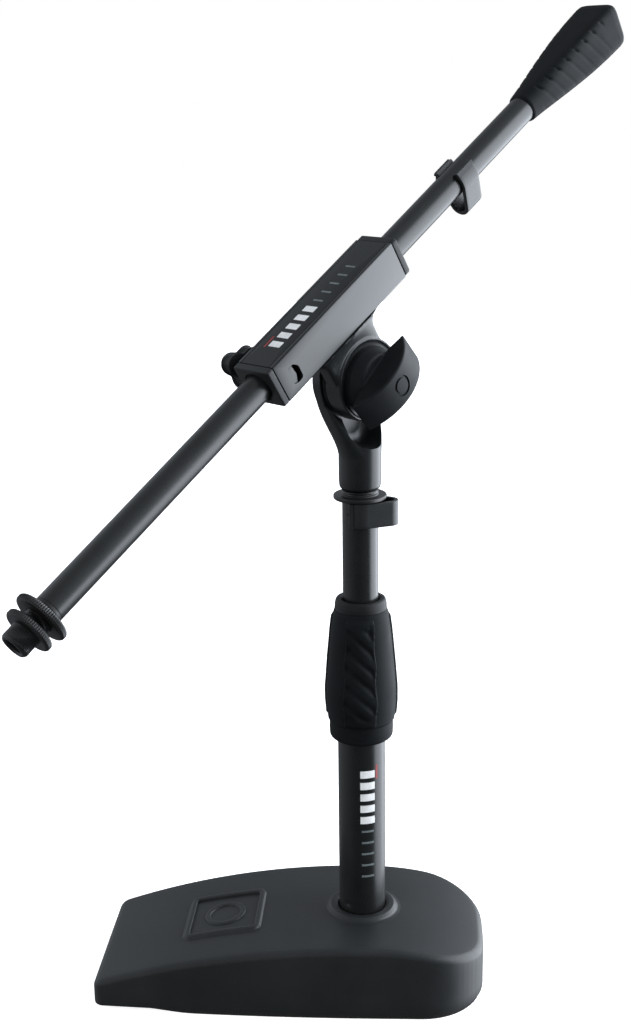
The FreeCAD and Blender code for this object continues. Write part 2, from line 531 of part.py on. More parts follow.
def build_boom():
    """Boom tube with its threaded end, lock ring, thread adapter, counterweight and grip."""
    place = boom_place()
    keep("boom_tube", ring(BOOM_R, BOOM_BORE, BOOM_FRONT, BOOM_REAR, X_AXIS), place)
    shoulder = BOOM_FRONT - 2.0
    thread_end = ADAPTER_X[1] + 0.4
    stud_end = STUB_END_X + 5.0
    keep("boom_end_stud", turned([
        (0, -190), (BOOM_BORE - 0.02, -190), (BOOM_BORE - 0.02, BOOM_FRONT), (BOOM_R, BOOM_FRONT),
        (BOOM_R, shoulder), (THREAD_R - 0.2, shoulder), (THREAD_R - 0.2, thread_end),
        (SMALL_THREAD_R, thread_end), (SMALL_THREAD_R, stud_end + 0.8), (SMALL_THREAD_R - 0.8, stud_end),
        (0, stud_end)], X_AXIS), place)

    lock_ring = ring(LOCK_RING_R, THREAD_R - 0.2 + RUNNING, *LOCK_RING_X, X_AXIS)
    lock_ring = knurled(lock_ring, LOCK_RING_R, *LOCK_RING_X, LOCK_RING_TEETH, KNURL_DEPTH)
    keep("boom_lock_ring", lock_ring, place)
    bore = SMALL_THREAD_R + RUNNING
    flange = ring(ADAPTER_R, bore, *ADAPTER_X, X_AXIS)
    flange = knurled(flange, ADAPTER_R, *ADAPTER_X, ADAPTER_TEETH, KNURL_DEPTH)
    stub = turned([(bore, ADAPTER_X[0]), (THREAD_R, ADAPTER_X[0]), (THREAD_R, STUB_END_X + 1.2),
                   (THREAD_R - 1.2, STUB_END_X), (bore, STUB_END_X)], X_AXIS)
    keep("thread_adapter", flange.fuse(stub).removeSplitter(), place)

    weight_start, weight_end = 228.0, 288.0
    weight_side = [(9.4, weight_start), (9.8, 240), (12.0, 264), (12.0, weight_end), (0, weight_end)]
    weight = turned([(BOOM_R, weight_start), *weight_side, (0, BOOM_REAR), (BOOM_R, BOOM_REAR)], X_AXIS)
    keep("counterweight", weight, place)
    shoulder = (GRIP_REAR - 3.0, GRIP_REAR_HALF, 5.6)
    sections = [(GRIP_FRONT, GRIP_FRONT_HALF, 7.6), (238.0, 11.6, 7.2), (272.0, 13.8, 6.2), shoulder]
    body = Part.makeLoft([rounded_square(*s) for s in sections], True, False)
    end = Part.makeLoft([rounded_square(*shoulder), rounded_square(GRIP_REAR, GRIP_REAR_HALF - 2.4, 5.0)],
                        True, True)
    filled = rod(BOOM_R, GRIP_FRONT - 1, BOOM_REAR, X_AXIS)
    pocket = turned([(0, weight_start), *weight_side], X_AXIS)
    keep("counterweight_grip", body.fuse(end).cut([filled, pocket]).removeSplitter(), place)


def build_all():
    """Model every piece and write one file per node."""
    build_base()
    build_mast()
    build_clutch()
    build_clips()
    build_head()
    build_tilt_knob()
    build_clamp()
    build_boom_lock()
    build_boom()
    os.makedirs("parts", exist_ok=True)
    for name, shape in sorted(NODES.items()):
        shape.exportStep(os.path.join("parts", name + ".step"))
        print(f"{name:22s} solids {len(shape.Solids)} valid {shape.isValid()} volume {shape.Volume:.0f} mm3")


build_all()
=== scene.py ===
import json
import logging
import math
from dataclasses import dataclass, field
from enum import Enum
from typing import Callable, Optional, Sequence

import bmesh
import bpy
import numpy as np
from mathutils import Matrix


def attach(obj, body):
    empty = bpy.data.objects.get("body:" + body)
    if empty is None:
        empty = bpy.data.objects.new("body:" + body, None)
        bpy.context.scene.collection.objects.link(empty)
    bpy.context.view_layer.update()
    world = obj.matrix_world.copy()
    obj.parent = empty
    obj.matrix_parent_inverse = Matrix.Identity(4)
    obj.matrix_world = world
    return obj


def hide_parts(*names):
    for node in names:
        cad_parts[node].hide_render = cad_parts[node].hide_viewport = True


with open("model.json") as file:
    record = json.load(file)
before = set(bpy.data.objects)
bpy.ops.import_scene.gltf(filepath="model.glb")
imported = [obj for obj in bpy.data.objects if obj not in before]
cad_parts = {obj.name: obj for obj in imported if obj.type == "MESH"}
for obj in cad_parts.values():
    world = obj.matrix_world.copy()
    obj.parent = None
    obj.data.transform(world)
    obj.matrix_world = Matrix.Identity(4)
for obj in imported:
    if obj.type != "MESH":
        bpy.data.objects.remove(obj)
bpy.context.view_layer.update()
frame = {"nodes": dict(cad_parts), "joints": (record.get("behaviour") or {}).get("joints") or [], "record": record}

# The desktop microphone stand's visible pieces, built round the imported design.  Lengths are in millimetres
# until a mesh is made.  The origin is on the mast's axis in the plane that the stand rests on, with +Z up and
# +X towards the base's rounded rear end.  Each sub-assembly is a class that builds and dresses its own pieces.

MM = 0.001
LOG = logging.getLogger("mic_stand")
Corner = tuple[float, float, float]
Swell = Callable[[np.ndarray, np.ndarray, np.ndarray], np.ndarray]


# ---- frames -------------------------------------------------------------------------------------------
@dataclass(frozen=True)
class Place:
    """A frame of the stored pose: its origin in millimetres, and its axes as the columns of a turn."""

    origin: np.ndarray
    turn: np.ndarray

    def carry(self, points: np.ndarray) -> np.ndarray:
        """Points of this frame as points of the object: turned, then moved to the origin."""
        return points @ self.turn.T + self.origin

    def moved(self, x: float = 0.0, y: float = 0.0, z: float = 0.0) -> "Place":
        """The same axes with the origin moved along them."""
        return Place(self.carry(np.array([x, y, z])), self.turn)

    def tilted(self, degrees: float) -> "Place":
        """The frame turned about its own Y axis, X towards Z for a positive angle."""
        c, s = math.cos(math.radians(degrees)), math.sin(math.radians(degrees))
        return Place(self.origin, self.turn @ np.array([[c, 0, -s], [0, 1, 0], [s, 0, c]]))

    def span(self, node: str) -> tuple[np.ndarray, np.ndarray]:
        """Lowest and highest corner of a CAD node along this frame's axes.

        Args:
            node: the CAD node's name.

        Returns:
            The two corners in millimetres.
        """
        mesh = frame["nodes"][node].data
        flat = np.empty(len(mesh.vertices) * 3, np.float32)
        mesh.vertices.foreach_get("co", flat)
        local = (flat.reshape(-1, 3) / MM - self.origin) @ self.turn
        return local.min(axis=0), local.max(axis=0)


def joint(name: str) -> dict:
    """The frame's joint of that name."""
    return next(item for item in frame["joints"] if item["name"] == name)


def stored_pose() -> tuple[Place, Place, Place]:
    """The frames of the stand, the boom head and the boom, worked out from the joints.

    The boom's X axis is the slide's axis, its Y axis is the tilt's axis, and Z is square to both.  Its origin is
    above the pivot, at the height where the boom's own turning joints lie.  The head's X axis is the level
    part of the boom's.

    Returns:
        The three frames.
    """
    stand = Place(np.zeros(3), np.eye(3))
    along = np.array(joint("boom_slide")["axis"], float)
    across = np.array(joint("boom_tilt")["axis"], float)
    pivot = np.array(joint("boom_tilt")["pos_m"], float) / MM
    level = along * (1.0, 1.0, 0.0)
    head = Place(np.zeros(3), np.column_stack([level / np.linalg.norm(level), across, (0.0, 0.0, 1.0)]))
    up = np.cross(along, across)
    on_axis = np.array(joint("lock_ring_turn")["pos_m"], float) / MM
    boom = Place(pivot + up * ((on_axis - pivot) @ up), np.column_stack([along, across, up]))
    return stand, head, boom


STAND, HEAD, BOOM = stored_pose()
PIVOT_DROP = float((BOOM.origin - np.array(joint("boom_tilt")["pos_m"], float) / MM) @ BOOM.turn[:, 2])


# ---- surfaces from numpy ------------------------------------------------------------------------------
class Axis(Enum):
    """The axis that a turned piece is made round, as the order that (across, beside, along) is read in."""

    X = (2, 0, 1)
    Y = (1, 2, 0)
    Z = (0, 1, 2)


@dataclass(frozen=True)
class Shell:
    """One closed surface: its points in the object's frame, in millimetres, and its four-sided faces."""

    points: np.ndarray
    faces: np.ndarray


def unit(vectors: np.ndarray) -> np.ndarray:
    """Each vector divided by its own length."""
    return vectors / np.linalg.norm(vectors, axis=-1, keepdims=True)


def ramp(value: np.ndarray, start: float, end: float) -> np.ndarray:
    """A smooth step from 0 at start to 1 at end: 3t^2 - 2t^3 of the share t between them."""
    t = np.clip((value - start) / (end - start), 0.0, 1.0)
    return t * t * (3.0 - 2.0 * t)


def rounded_path(corners: Sequence[Corner], steps: int = 8) -> np.ndarray:
    """Straight runs between corners, each corner replaced by an arc that touches both its runs.

    An arc starts radius times the tangent of half the turn before its corner, and its points are that start
    swung about the arc's centre by equal angles.  A corner of no radius stays one point.

    Args:
        corners: (across, along, radius) of each corner, in order round the outline.
        steps: points on each arc.

    Returns:
        The outline's points, one row each.
    """
    corner = np.array(corners, float)
    at, radius = corner[:, :2], corner[:, 2]
    into = unit(at - np.roll(at, 1, axis=0))
    out = np.roll(into, -1, axis=0)
    turn = np.arctan2(into[:, 0] * out[:, 1] - into[:, 1] * out[:, 0], (into * out).sum(axis=1))
    start = at - into * (radius * np.tan(np.abs(turn) / 2))[:, None]
    normal = np.stack([-into[:, 1], into[:, 0]], axis=1) * np.sign(turn)[:, None]
    arm = -normal * radius[:, None]
    swing = turn[:, None] * np.linspace(0.0, 1.0, steps)
    x = arm[:, :1] * np.cos(swing) - arm[:, 1:] * np.sin(swing)
    y = arm[:, :1] * np.sin(swing) + arm[:, 1:] * np.cos(swing)
    arcs = (start - arm)[:, None, :] + np.stack([x, y], axis=2)
    used = (radius[:, None] > 0) | (np.arange(steps) == 0)
    return arcs[used]


def arc(centre: tuple[float, float], radius: float, start: float, end: float, steps: int) -> np.ndarray:
    """Points at equal angles, in degrees from the first axis, on a circle."""
    angle = np.radians(np.linspace(start, end, steps))
    return np.stack([centre[0] + radius * np.cos(angle), centre[1] + radius * np.sin(angle)], axis=1)


def spaced(path: np.ndarray, spacing: float) -> np.ndarray:
    """The same path with points added along it, none further apart than spacing, and close doubles dropped."""
    runs = np.linalg.norm(np.diff(path, axis=0), axis=1)
    length = np.concatenate([[0.0], np.cumsum(runs)])
    stations = np.union1d(length, np.arange(0.0, length[-1], spacing))
    stations = stations[np.diff(stations, prepend=-spacing) > 0.02 * spacing]
    return np.stack([np.interp(stations, length, path[:, k]) for k in range(path.shape[1])], axis=1)


def closed(path: np.ndarray) -> np.ndarray:
    """The path with its first point repeated at its end."""
    return np.concatenate([path, path[:1]])


def merged(outline: np.ndarray) -> np.ndarray:
    """A closed outline without points that repeat the one before."""
    step = np.linalg.norm(outline - np.roll(outline, 1, axis=0), axis=1)
    return outline[step > 1e-6]


def inset(outline: np.ndarray, distance: float) -> np.ndarray:
    """An anticlockwise closed outline drawn in by a distance.

    Each point moves along the mean normal of its two runs, by the distance over the cosine of half the turn.

    Args:
        outline: its points, one row each.
        distance: how far in, or out where it is negative.

    Returns:
        The new outline, point for point.
    """
    into = unit(outline - np.roll(outline, 1, axis=0))
    mean = unit(into + np.roll(into, -1, axis=0))
    normal = np.stack([-mean[:, 1], mean[:, 0]], axis=1)
    return outline + normal * (distance / (mean * into).sum(axis=1))[:, None]


def woven(grid: np.ndarray, wrap_rows: bool, wrap_columns: bool = True) -> Shell:
    """A grid of points as four-sided faces between neighbours.

    Args:
        grid: rows by columns by 3, in the object's frame.
        wrap_rows: whether the last row joins the first.
        wrap_columns: whether the last column joins the first.

    Returns:
        The shell.
    """
    rows, columns = grid.shape[:2]
    r = np.arange(rows if wrap_rows else rows - 1)[:, None]
    c = np.arange(columns if wrap_columns else columns - 1)[None, :]
    below, beside = (r + 1) % rows, (c + 1) % columns
    corners = [r * columns + c, r * columns + beside, below * columns + beside, below * columns + c]
    return Shell(grid.reshape(-1, 3), np.stack(corners, axis=-1).reshape(-1, 4))


def with_poles(grid: np.ndarray) -> np.ndarray:
    """The grid with a row added at each end, all of it at that end row's centre, which closes the ends."""
    first = np.broadcast_to(grid[:1].mean(axis=1, keepdims=True), grid[:1].shape)
    last = np.broadcast_to(grid[-1:].mean(axis=1, keepdims=True), grid[-1:].shape)
    return np.concatenate([first, grid, last])


def turned(profile: np.ndarray, place: Place, axis: Axis = Axis.Z, segments: int = 96,
           swell: Optional[Swell] = None) -> Shell:
    """A half section turned round an axis: across = r cos(a), beside = r sin(a), along = the station.

    Args:
        profile: (radius, station) rows.  Where the first row has no radius the ends are poles, and otherwise
            the section is a closed loop.
        place: the frame that the axis is in.
        axis: which of its axes.
        segments: columns round the axis.
        swell: what is added to the radius, as a function of angle, station and radius.

    Returns:
        The closed shell.
    """
    angle = np.linspace(0.0, 2.0 * np.pi, segments, endpoint=False)[None, :]
    radius, station = profile[:, :1], profile[:, 1:]
    if swell is not None:
        radius = radius + swell(angle, station, radius)
    raw = np.stack(np.broadcast_arrays(radius * np.cos(angle), radius * np.sin(angle), station), axis=-1)
    grid = place.carry(raw[..., list(axis.value)])
    return woven(grid, wrap_rows=bool(profile[0, 0] > 0))


def slab(outline: np.ndarray, low: float, high: float, place: Place, axis: Axis = Axis.Z,
         edge: float = 0.5, steps: int = 5) -> Shell:
    """An outline pushed along an axis, with its two rims rounded.

    A rim's rows are the outline drawn in by edge (1 - cos a), at edge (1 - sin a) from the end face.

    Args:
        outline: closed outline across the axis, anticlockwise.
        low: station of the first end face.
        high: station of the other.
        place: the frame.
        axis: the axis that the stations are on.
        edge: radius of the rims.
        steps: rows on each rim.

    Returns:
        The closed shell.
    """
    angle = np.linspace(0.0, np.pi / 2, steps)
    drawn_in, short = edge * (1.0 - np.cos(angle)), edge * (1.0 - np.sin(angle))
    insets = np.concatenate([drawn_in[::-1], drawn_in])
    stations = np.concatenate([low + short[::-1], high - short])
    rows = [np.column_stack([inset(outline, d), np.full(len(outline), s)]) for d, s in zip(insets, stations)]
    return woven(place.carry(with_poles(np.array(rows))[..., list(axis.value)]), wrap_rows=False)


def swept(path: np.ndarray, section: np.ndarray, place: Place) -> Shell:
    """A closed section carried along a flat path, square to it, with closed ends.

    A point is the path's point, plus the section's first coordinate along the path's left normal, and its
    second coordinate along the frame's Z.

    Args:
        path: points in the frame's XY plane.
        section: (beside, up) rows.
        place: the frame.

    Returns:
        The closed shell.
    """
    run = unit(np.gradient(path, axis=0))
    normal = np.stack([-run[:, 1], run[:, 0]], axis=1)
    flat = path[:, None, :] + normal[:, None, :] * section[None, :, :1]
    up = np.broadcast_to(section[None, :, 1:], flat.shape[:2] + (1,))
    return woven(place.carry(with_poles(np.concatenate([flat, up], axis=2))), wrap_rows=False)


def rectangle(half_a: float, half_b: float, radius: float, centre: tuple[float, float] = (0.0, 0.0),
              steps: int = 6) -> np.ndarray:
    """A rectangle's outline with round corners, anticlockwise."""
    signs = ((-1, -1), (1, -1), (1, 1), (-1, 1))
    return rounded_path([(centre[0] + a * half_a, centre[1] + b * half_b, radius) for a, b in signs], steps)


# ---- meshes -------------------------------------------------------------------------------------------
def clean(mesh: bpy.types.Mesh, crease: float) -> None:
    """Close poles and seams, turn every face outwards, and shade smooth except across sharp edges.

    Args:
        mesh: the mesh to clean.
        crease: edges that turn by more than this many degrees stay sharp.
    """
    work = bmesh.new()
    work.from_mesh(mesh)
    bmesh.ops.remove_doubles(work, verts=work.verts, dist=2e-6)
    bmesh.ops.recalc_face_normals(work, faces=work.faces)
    work.to_mesh(mesh)
    work.free()
    mesh.shade_smooth()
    mesh.set_sharp_from_angle(angle=math.radians(crease))


def piece(name: str, shells: Sequence[Shell], crease: float = 32.0) -> bpy.types.Object:
    """One mesh object from closed shells.

    Args:
        name: the piece's name.
        shells: its closed surfaces.
        crease: see clean().

    Returns:
        The object, at the origin, with its place in its mesh.
    """
    starts = np.cumsum([0] + [len(shell.points) for shell in shells[:-1]])
    points = np.concatenate([shell.points for shell in shells]) * MM
    faces = np.concatenate([shell.faces + start for shell, start in zip(shells, starts)])
    mesh = bpy.data.meshes.new(name)
    mesh.from_pydata(points, [], faces)
    clean(mesh, crease)
    item = bpy.data.objects.new(name, mesh)
    bpy.context.scene.collection.objects.link(item)
    return item


def settle(item: bpy.types.Object, crease: float = 32.0) -> bpy.types.Object:
    """Make a piece's modifiers part of its mesh."""
    graph = bpy.context.evaluated_depsgraph_get()
    mesh = bpy.data.meshes.new_from_object(item.evaluated_get(graph))
    item.modifiers.clear()
    item.data = mesh
    clean(mesh, crease)
    return item


def carve(item: bpy.types.Object, cutters: Sequence[Shell], crease: float = 32.0) -> bpy.types.Object:
    """Cut shells out of a piece.

    Args:
        item: the piece.
        cutters: what is taken away.
        crease: see clean().

    Returns:
        The piece.
    """
    tools = [piece(f"cutter_{number}", [shell]) for number, shell in enumerate(cutters)]
    for tool in tools:
        cut = item.modifiers.new("cut", "BOOLEAN")
        cut.operation, cut.solver, cut.object = "DIFFERENCE", "MANIFOLD", tool
    settle(item, crease)
    for tool in tools:
        bpy.data.objects.remove(tool)
    return item


def cast_in_one(name: str, parts: Sequence[bpy.types.Object], voxel: float, passes: int) -> bpy.types.Object:
    """Join overlapping closed parts into one skin with soft fillets, as a die casting has.

    The parts are remeshed on a cubic lattice, and each pass of smoothing moves points half way to the mean
    of their neighbours.

    Args:
        name: the piece's name.
        parts: the closed parts, which are used up.
        voxel: lattice spacing in millimetres.
        passes: how often the skin is smoothed.

    Returns:
        The joined piece.
    """
    work = bmesh.new()
    for part in parts:
        work.from_mesh(part.data)
        bpy.data.objects.remove(part)
    mesh = bpy.data.meshes.new(name)
    work.to_mesh(mesh)
    work.free()
    item = bpy.data.objects.new(name, mesh)
    bpy.context.scene.collection.objects.link(item)
    skin = item.modifiers.new("skin", "REMESH")
    skin.mode, skin.voxel_size = "VOXEL", voxel * MM
    soften = item.modifiers.new("soften", "SMOOTH")
    soften.factor, soften.iterations = 0.5, passes
    return settle(item, crease=60.0)


# ---- finishes -----------------------------------------------------------------------------------------
def linear(colour: str) -> tuple[float, float, float, float]:
    """An sRGB hex colour as linear values: c / 12.92 in the darkest part, ((c + 0.055) / 1.055)^2.4 above it."""
    channels = np.array([int(colour[k:k + 2], 16) for k in (1, 3, 5)]) / 255.0
    values = np.where(channels <= 0.04045, channels / 12.92, ((channels + 0.055) / 1.055) ** 2.4)
    return (*values.tolist(), 1.0)


def add_node(tree: bpy.types.NodeTree, kind: str, inputs: Optional[dict] = None,
             **settings: object) -> bpy.types.Node:
    """Add a node with its settings and links.

    Args:
        tree: the node tree.
        kind: the node's type name.
        inputs: value or linked socket for each input, by name or number.
        settings: the node's own properties.

    Returns:
        The node.
    """
    node = tree.nodes.new(kind)
    for name, value in settings.items():
        setattr(node, name, value)
    for name, value in (inputs or {}).items():
        if isinstance(value, bpy.types.NodeSocket):
            tree.links.new(value, node.inputs[name])
        else:
            node.inputs[name].default_value = value
    return node


@dataclass(frozen=True)
class Finish:
    """A surface as its maker leaves it: a colour with slow mottling, a fine grain, and rubbed edges.

    The grain is raised by the bump node from noise whose cells are grain millimetres across.  Mottling mixes the
    colour with the faded one over patches of mottle millimetres and moves the roughness between its two values.
    """

    name: str
    colour: str
    faded: str
    roughness: tuple[float, float]
    grain: float = 0.9
    relief: float = 0.02
    mottle: float = 22.0
    metallic: float = 0.0
    ior: float = 1.5
    coat: float = 0.0
    rubbed: str = ""

    def grain_height(self, tree: bpy.types.NodeTree, place: bpy.types.NodeSocket) -> bpy.types.NodeSocket:
        """Height of the grain, 0 to 1, as fine noise."""
        noise = add_node(tree, "ShaderNodeTexNoise",
                         {"Vector": place, "Scale": 1 / (self.grain * MM), "Detail": 3.0, "Roughness": 0.6})
        return noise.outputs["Fac"]

    def material(self) -> bpy.types.Material:
        """The finish as a material, made once.

        Returns:
            The material.
        """
        made = bpy.data.materials.get(self.name)
        if made is not None:
            return made
        made = bpy.data.materials.new(self.name)
        made.use_nodes = True
        tree = made.node_tree
        tree.nodes.clear()
        place = add_node(tree, "ShaderNodeTexCoord").outputs["Object"]
        patches = add_node(tree, "ShaderNodeTexNoise",
                           {"Vector": place, "Scale": 1 / (self.mottle * MM), "Detail": 5.0, "Roughness": 0.62})
        share = add_node(tree, "ShaderNodeMapRange", {"Value": patches.outputs["Fac"], "From Min": 0.32,
                                                      "From Max": 0.68, "To Min": 0.0, "To Max": 1.0})
        height = self.grain_height(tree, place)
        tint = add_node(tree, "ShaderNodeMix", {"Factor": share.outputs["Result"], 6: linear(self.colour),
                                                7: linear(self.faded)}, data_type="RGBA")
        shown = tint.outputs[2]
        if self.rubbed:
            bend = add_node(tree, "ShaderNodeNewGeometry").outputs["Pointiness"]
            edge = add_node(tree, "ShaderNodeMapRange", {"Value": bend, "From Min": 0.53, "From Max": 0.62,
                                                         "To Min": 0.0, "To Max": 0.75})
            worn = add_node(tree, "ShaderNodeMix", {"Factor": edge.outputs["Result"], 6: shown,
                                                    7: linear(self.rubbed)}, data_type="RGBA")
            shown = worn.outputs[2]
        both = add_node(tree, "ShaderNodeMath", {0: share.outputs["Result"], 1: height}, operation="MULTIPLY")
        rough = add_node(tree, "ShaderNodeMapRange", {"Value": both.outputs[0], "From Min": 0.0,
                                                      "From Max": 0.6, "To Min": self.roughness[0],
                                                      "To Max": self.roughness[1]})
        bump = add_node(tree, "ShaderNodeBump", {"Height": height, "Strength": 1.0,
                                                 "Distance": self.relief * MM})
        shader = add_node(tree, "ShaderNodeBsdfPrincipled", {
            "Base Color": shown, "Roughness": rough.outputs["Result"], "Metallic": self.metallic,
            "IOR": self.ior, "Coat Weight": self.coat, "Coat Roughness": 0.2,
            "Normal": bump.outputs["Normal"]})
        add_node(tree, "ShaderNodeOutputMaterial", {"Surface": shader.outputs["BSDF"]})
        return made

    def dress(self, item: bpy.types.Object) -> None:
        """Give a piece this finish in place of any other."""
        if item.material_slots:
            for slot in item.material_slots:
                slot.material = self.material()
        else:
            item.data.materials.append(self.material())


@dataclass(frozen=True)
class PowderCoat(Finish):
    """Baked powder coat.  It flows before it sets, so its skin is orange peel: low cells with fine specks."""

    def grain_height(self, tree: bpy.types.NodeTree, place: bpy.types.NodeSocket) -> bpy.types.NodeSocket:
        """Smooth cells of the grain's size, with specks a third as large laid over them."""
        cells = add_node(tree, "ShaderNodeTexVoronoi", {"Vector": place, "Scale": 1 / (self.grain * MM)},
                         feature="SMOOTH_F1")
        specks = add_node(tree, "ShaderNodeTexNoise",
                          {"Vector": place, "Scale": 3 / (self.grain * MM), "Detail": 2.0})
        return add_node(tree, "ShaderNodeMath", {0: cells.outputs["Distance"], 1: specks.outputs["Fac"]},
                        operation="MULTIPLY").outputs[0]


@dataclass(frozen=True)
class Machined(Finish):
    """Turned steel.  The tool leaves fine rings, drawn here as noise drawn out across the turning axis."""

    def grain_height(self, tree: bpy.types.NodeTree, place: bpy.types.NodeSocket) -> bpy.types.NodeSocket:
        """Noise squeezed along one axis to the tool's feed."""
        drawn = add_node(tree, "ShaderNodeMapping", {"Vector": place, "Scale": (1.0, 1.0, 6.0)})
        noise = add_node(tree, "ShaderNodeTexNoise", {"Vector": drawn.outputs["Vector"],
                                                      "Scale": 0.3 / (self.grain * MM), "Detail": 4.0})
        return noise.outputs["Fac"]


# Powder-coated cast iron: a deep, slightly green charcoal with a sandy, semi-matt skin.
CAST_IRON = PowderCoat("powder_coated_cast_iron", "#1b1d1e", "#212324", (0.42, 0.52), grain=1.3, relief=0.05,
                       mottle=34.0, ior=1.42)
# Powder-coated steel tube: smoother and glossier than the casting, so lights show as long soft streaks.
TUBE_COAT = PowderCoat("powder_coated_steel_tube", "#121414", "#181a1a", (0.27, 0.34), grain=1.1, relief=0.012,
                       mottle=26.0)
# Painted zinc die casting: satin black with rounded edges.
DIE_CASTING = PowderCoat("painted_zinc_die_casting", "#101213", "#171a1b", (0.30, 0.38), grain=0.9, relief=0.012,
                         mottle=18.0, ior=1.46)
# Painted clamp shell: a satin coat on a drawn aluminium box, even and fairly smooth.
CLAMP_SHELL = PowderCoat("satin_painted_aluminium", "#131516", "#191b1c", (0.31, 0.37), grain=0.8, relief=0.008,
                         mottle=24.0)
# Moulded ABS: a fine spark-eroded grain, dull black.
ABS_PLASTIC = Finish("moulded_abs", "#151718", "#1d1f20", (0.40, 0.50), grain=0.8, relief=0.018, mottle=14.0,
                     ior=1.36)
# Nylon filled with glass: the same black, a little greyer and rougher.
NYLON = Finish("glass_filled_nylon", "#121314", "#191a1b", (0.46, 0.58), grain=0.9, relief=0.02, mottle=12.0,
               ior=1.3)
# Acetal clip: springy and slightly waxy, with a soft gloss.
ACETAL = Finish("moulded_acetal", "#161819", "#1e2021", (0.36, 0.44), grain=1.0, relief=0.012, mottle=16.0)
# Soft grip rubber: quite matt, with dusty patches.
GRIP_RUBBER = Finish("moulded_grip_rubber", "#0d0f10", "#131618", (0.54, 0.66), grain=0.7, relief=0.022,
                     mottle=15.0, ior=1.2)
# Knob rubber: the same compound with a tighter skin.
KNOB_RUBBER = Finish("moulded_knob_rubber", "#101214", "#17191b", (0.46, 0.56), grain=0.7, relief=0.018,
                     mottle=12.0, ior=1.22)
# Foot rubber: dull, flat black.
FOOT_RUBBER = Finish("foot_rubber", "#0d0e0e", "#141515", (0.70, 0.82), grain=1.2, relief=0.05, mottle=20.0)
# Blackened steel: a thin oxide on turned steel, rubbed to bare metal on crests and edges.
BLACK_STEEL = Machined("blackened_steel", "#17181a", "#232527", (0.30, 0.42), grain=0.5, relief=0.02,
                       mottle=7.0, metallic=0.55, rubbed="#77797c")
# Zinc-plated steel: pale grey metal with soft spangle.
ZINC = Machined("zinc_plated_steel", "#8d9094", "#a3a5a8", (0.28, 0.42), grain=0.6, relief=0.015, mottle=9.0,
                metallic=1.0)
# Turned brass insert.
BRASS = Machined("turned_brass", "#a98a4c", "#b99b5c", (0.25, 0.36), grain=0.5, relief=0.012, mottle=8.0,
                 metallic=1.0)
# Pressed friction fibre: dull brown-grey with loose fibres.
FIBRE = Finish("pressed_friction_fibre", "#2b2825", "#3a3632", (0.78, 0.9), grain=0.8, relief=0.06, mottle=5.0)
# Pad-printed inks, which lie flat and slightly matt on the coat.
WHITE_INK = Finish("white_pad_print", "#dadcdd", "#c6c9ca", (0.45, 0.55), grain=0.6, relief=0.006, mottle=6.0)
GREY_INK = Finish("grey_pad_print", "#5f6769", "#545c5e", (0.45, 0.55), grain=0.6, relief=0.006, mottle=6.0)
RED_INK = Finish("red_pad_print", "#8c2b2b", "#772424", (0.45, 0.55), grain=0.6, relief=0.006, mottle=6.0)

# finish of every CAD node that stays in view, by the record's material slot
SLOT_FINISH = {
    "coated_cast_iron": CAST_IRON, "foot_rubber": FOOT_RUBBER, "zinc_steel": ZINC,
    "coated_steel_tube": TUBE_COAT, "moulded_nylon": NYLON, "grip_rubber": GRIP_RUBBER,
    "blackened_steel": BLACK_STEEL, "clip_plastic": ACETAL, "coated_die_casting": DIE_CASTING,
    "friction_fibre": FIBRE, "brass_insert": BRASS, "knob_rubber": KNOB_RUBBER,
    "coated_clamp_shell": CLAMP_SHELL, "clamp_plastic": ABS_PLASTIC, "knob_plastic": ABS_PLASTIC,
}


def install(item: bpy.types.Object, body: str, slot: str, *nodes: str,
            finish: Optional[Finish] = None) -> bpy.types.Object:
    """Dress a piece, let it ride its body, and let it stand for its CAD nodes.

    Args:
        item: the finished piece.
        body: the CAD body that it moves with.
        slot: the record's material slot, which also gives the finish.
        nodes: the CAD nodes that it stands for.
        finish: another finish than the slot's own.

    Returns:
        The piece.
    """
    (finish or SLOT_FINISH[slot]).dress(item)
    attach(item, body)
    if nodes:
        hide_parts(*nodes)
    LOG.info("%s: %d faces on body %s", item.name, len(item.data.polygons), body)
    return item


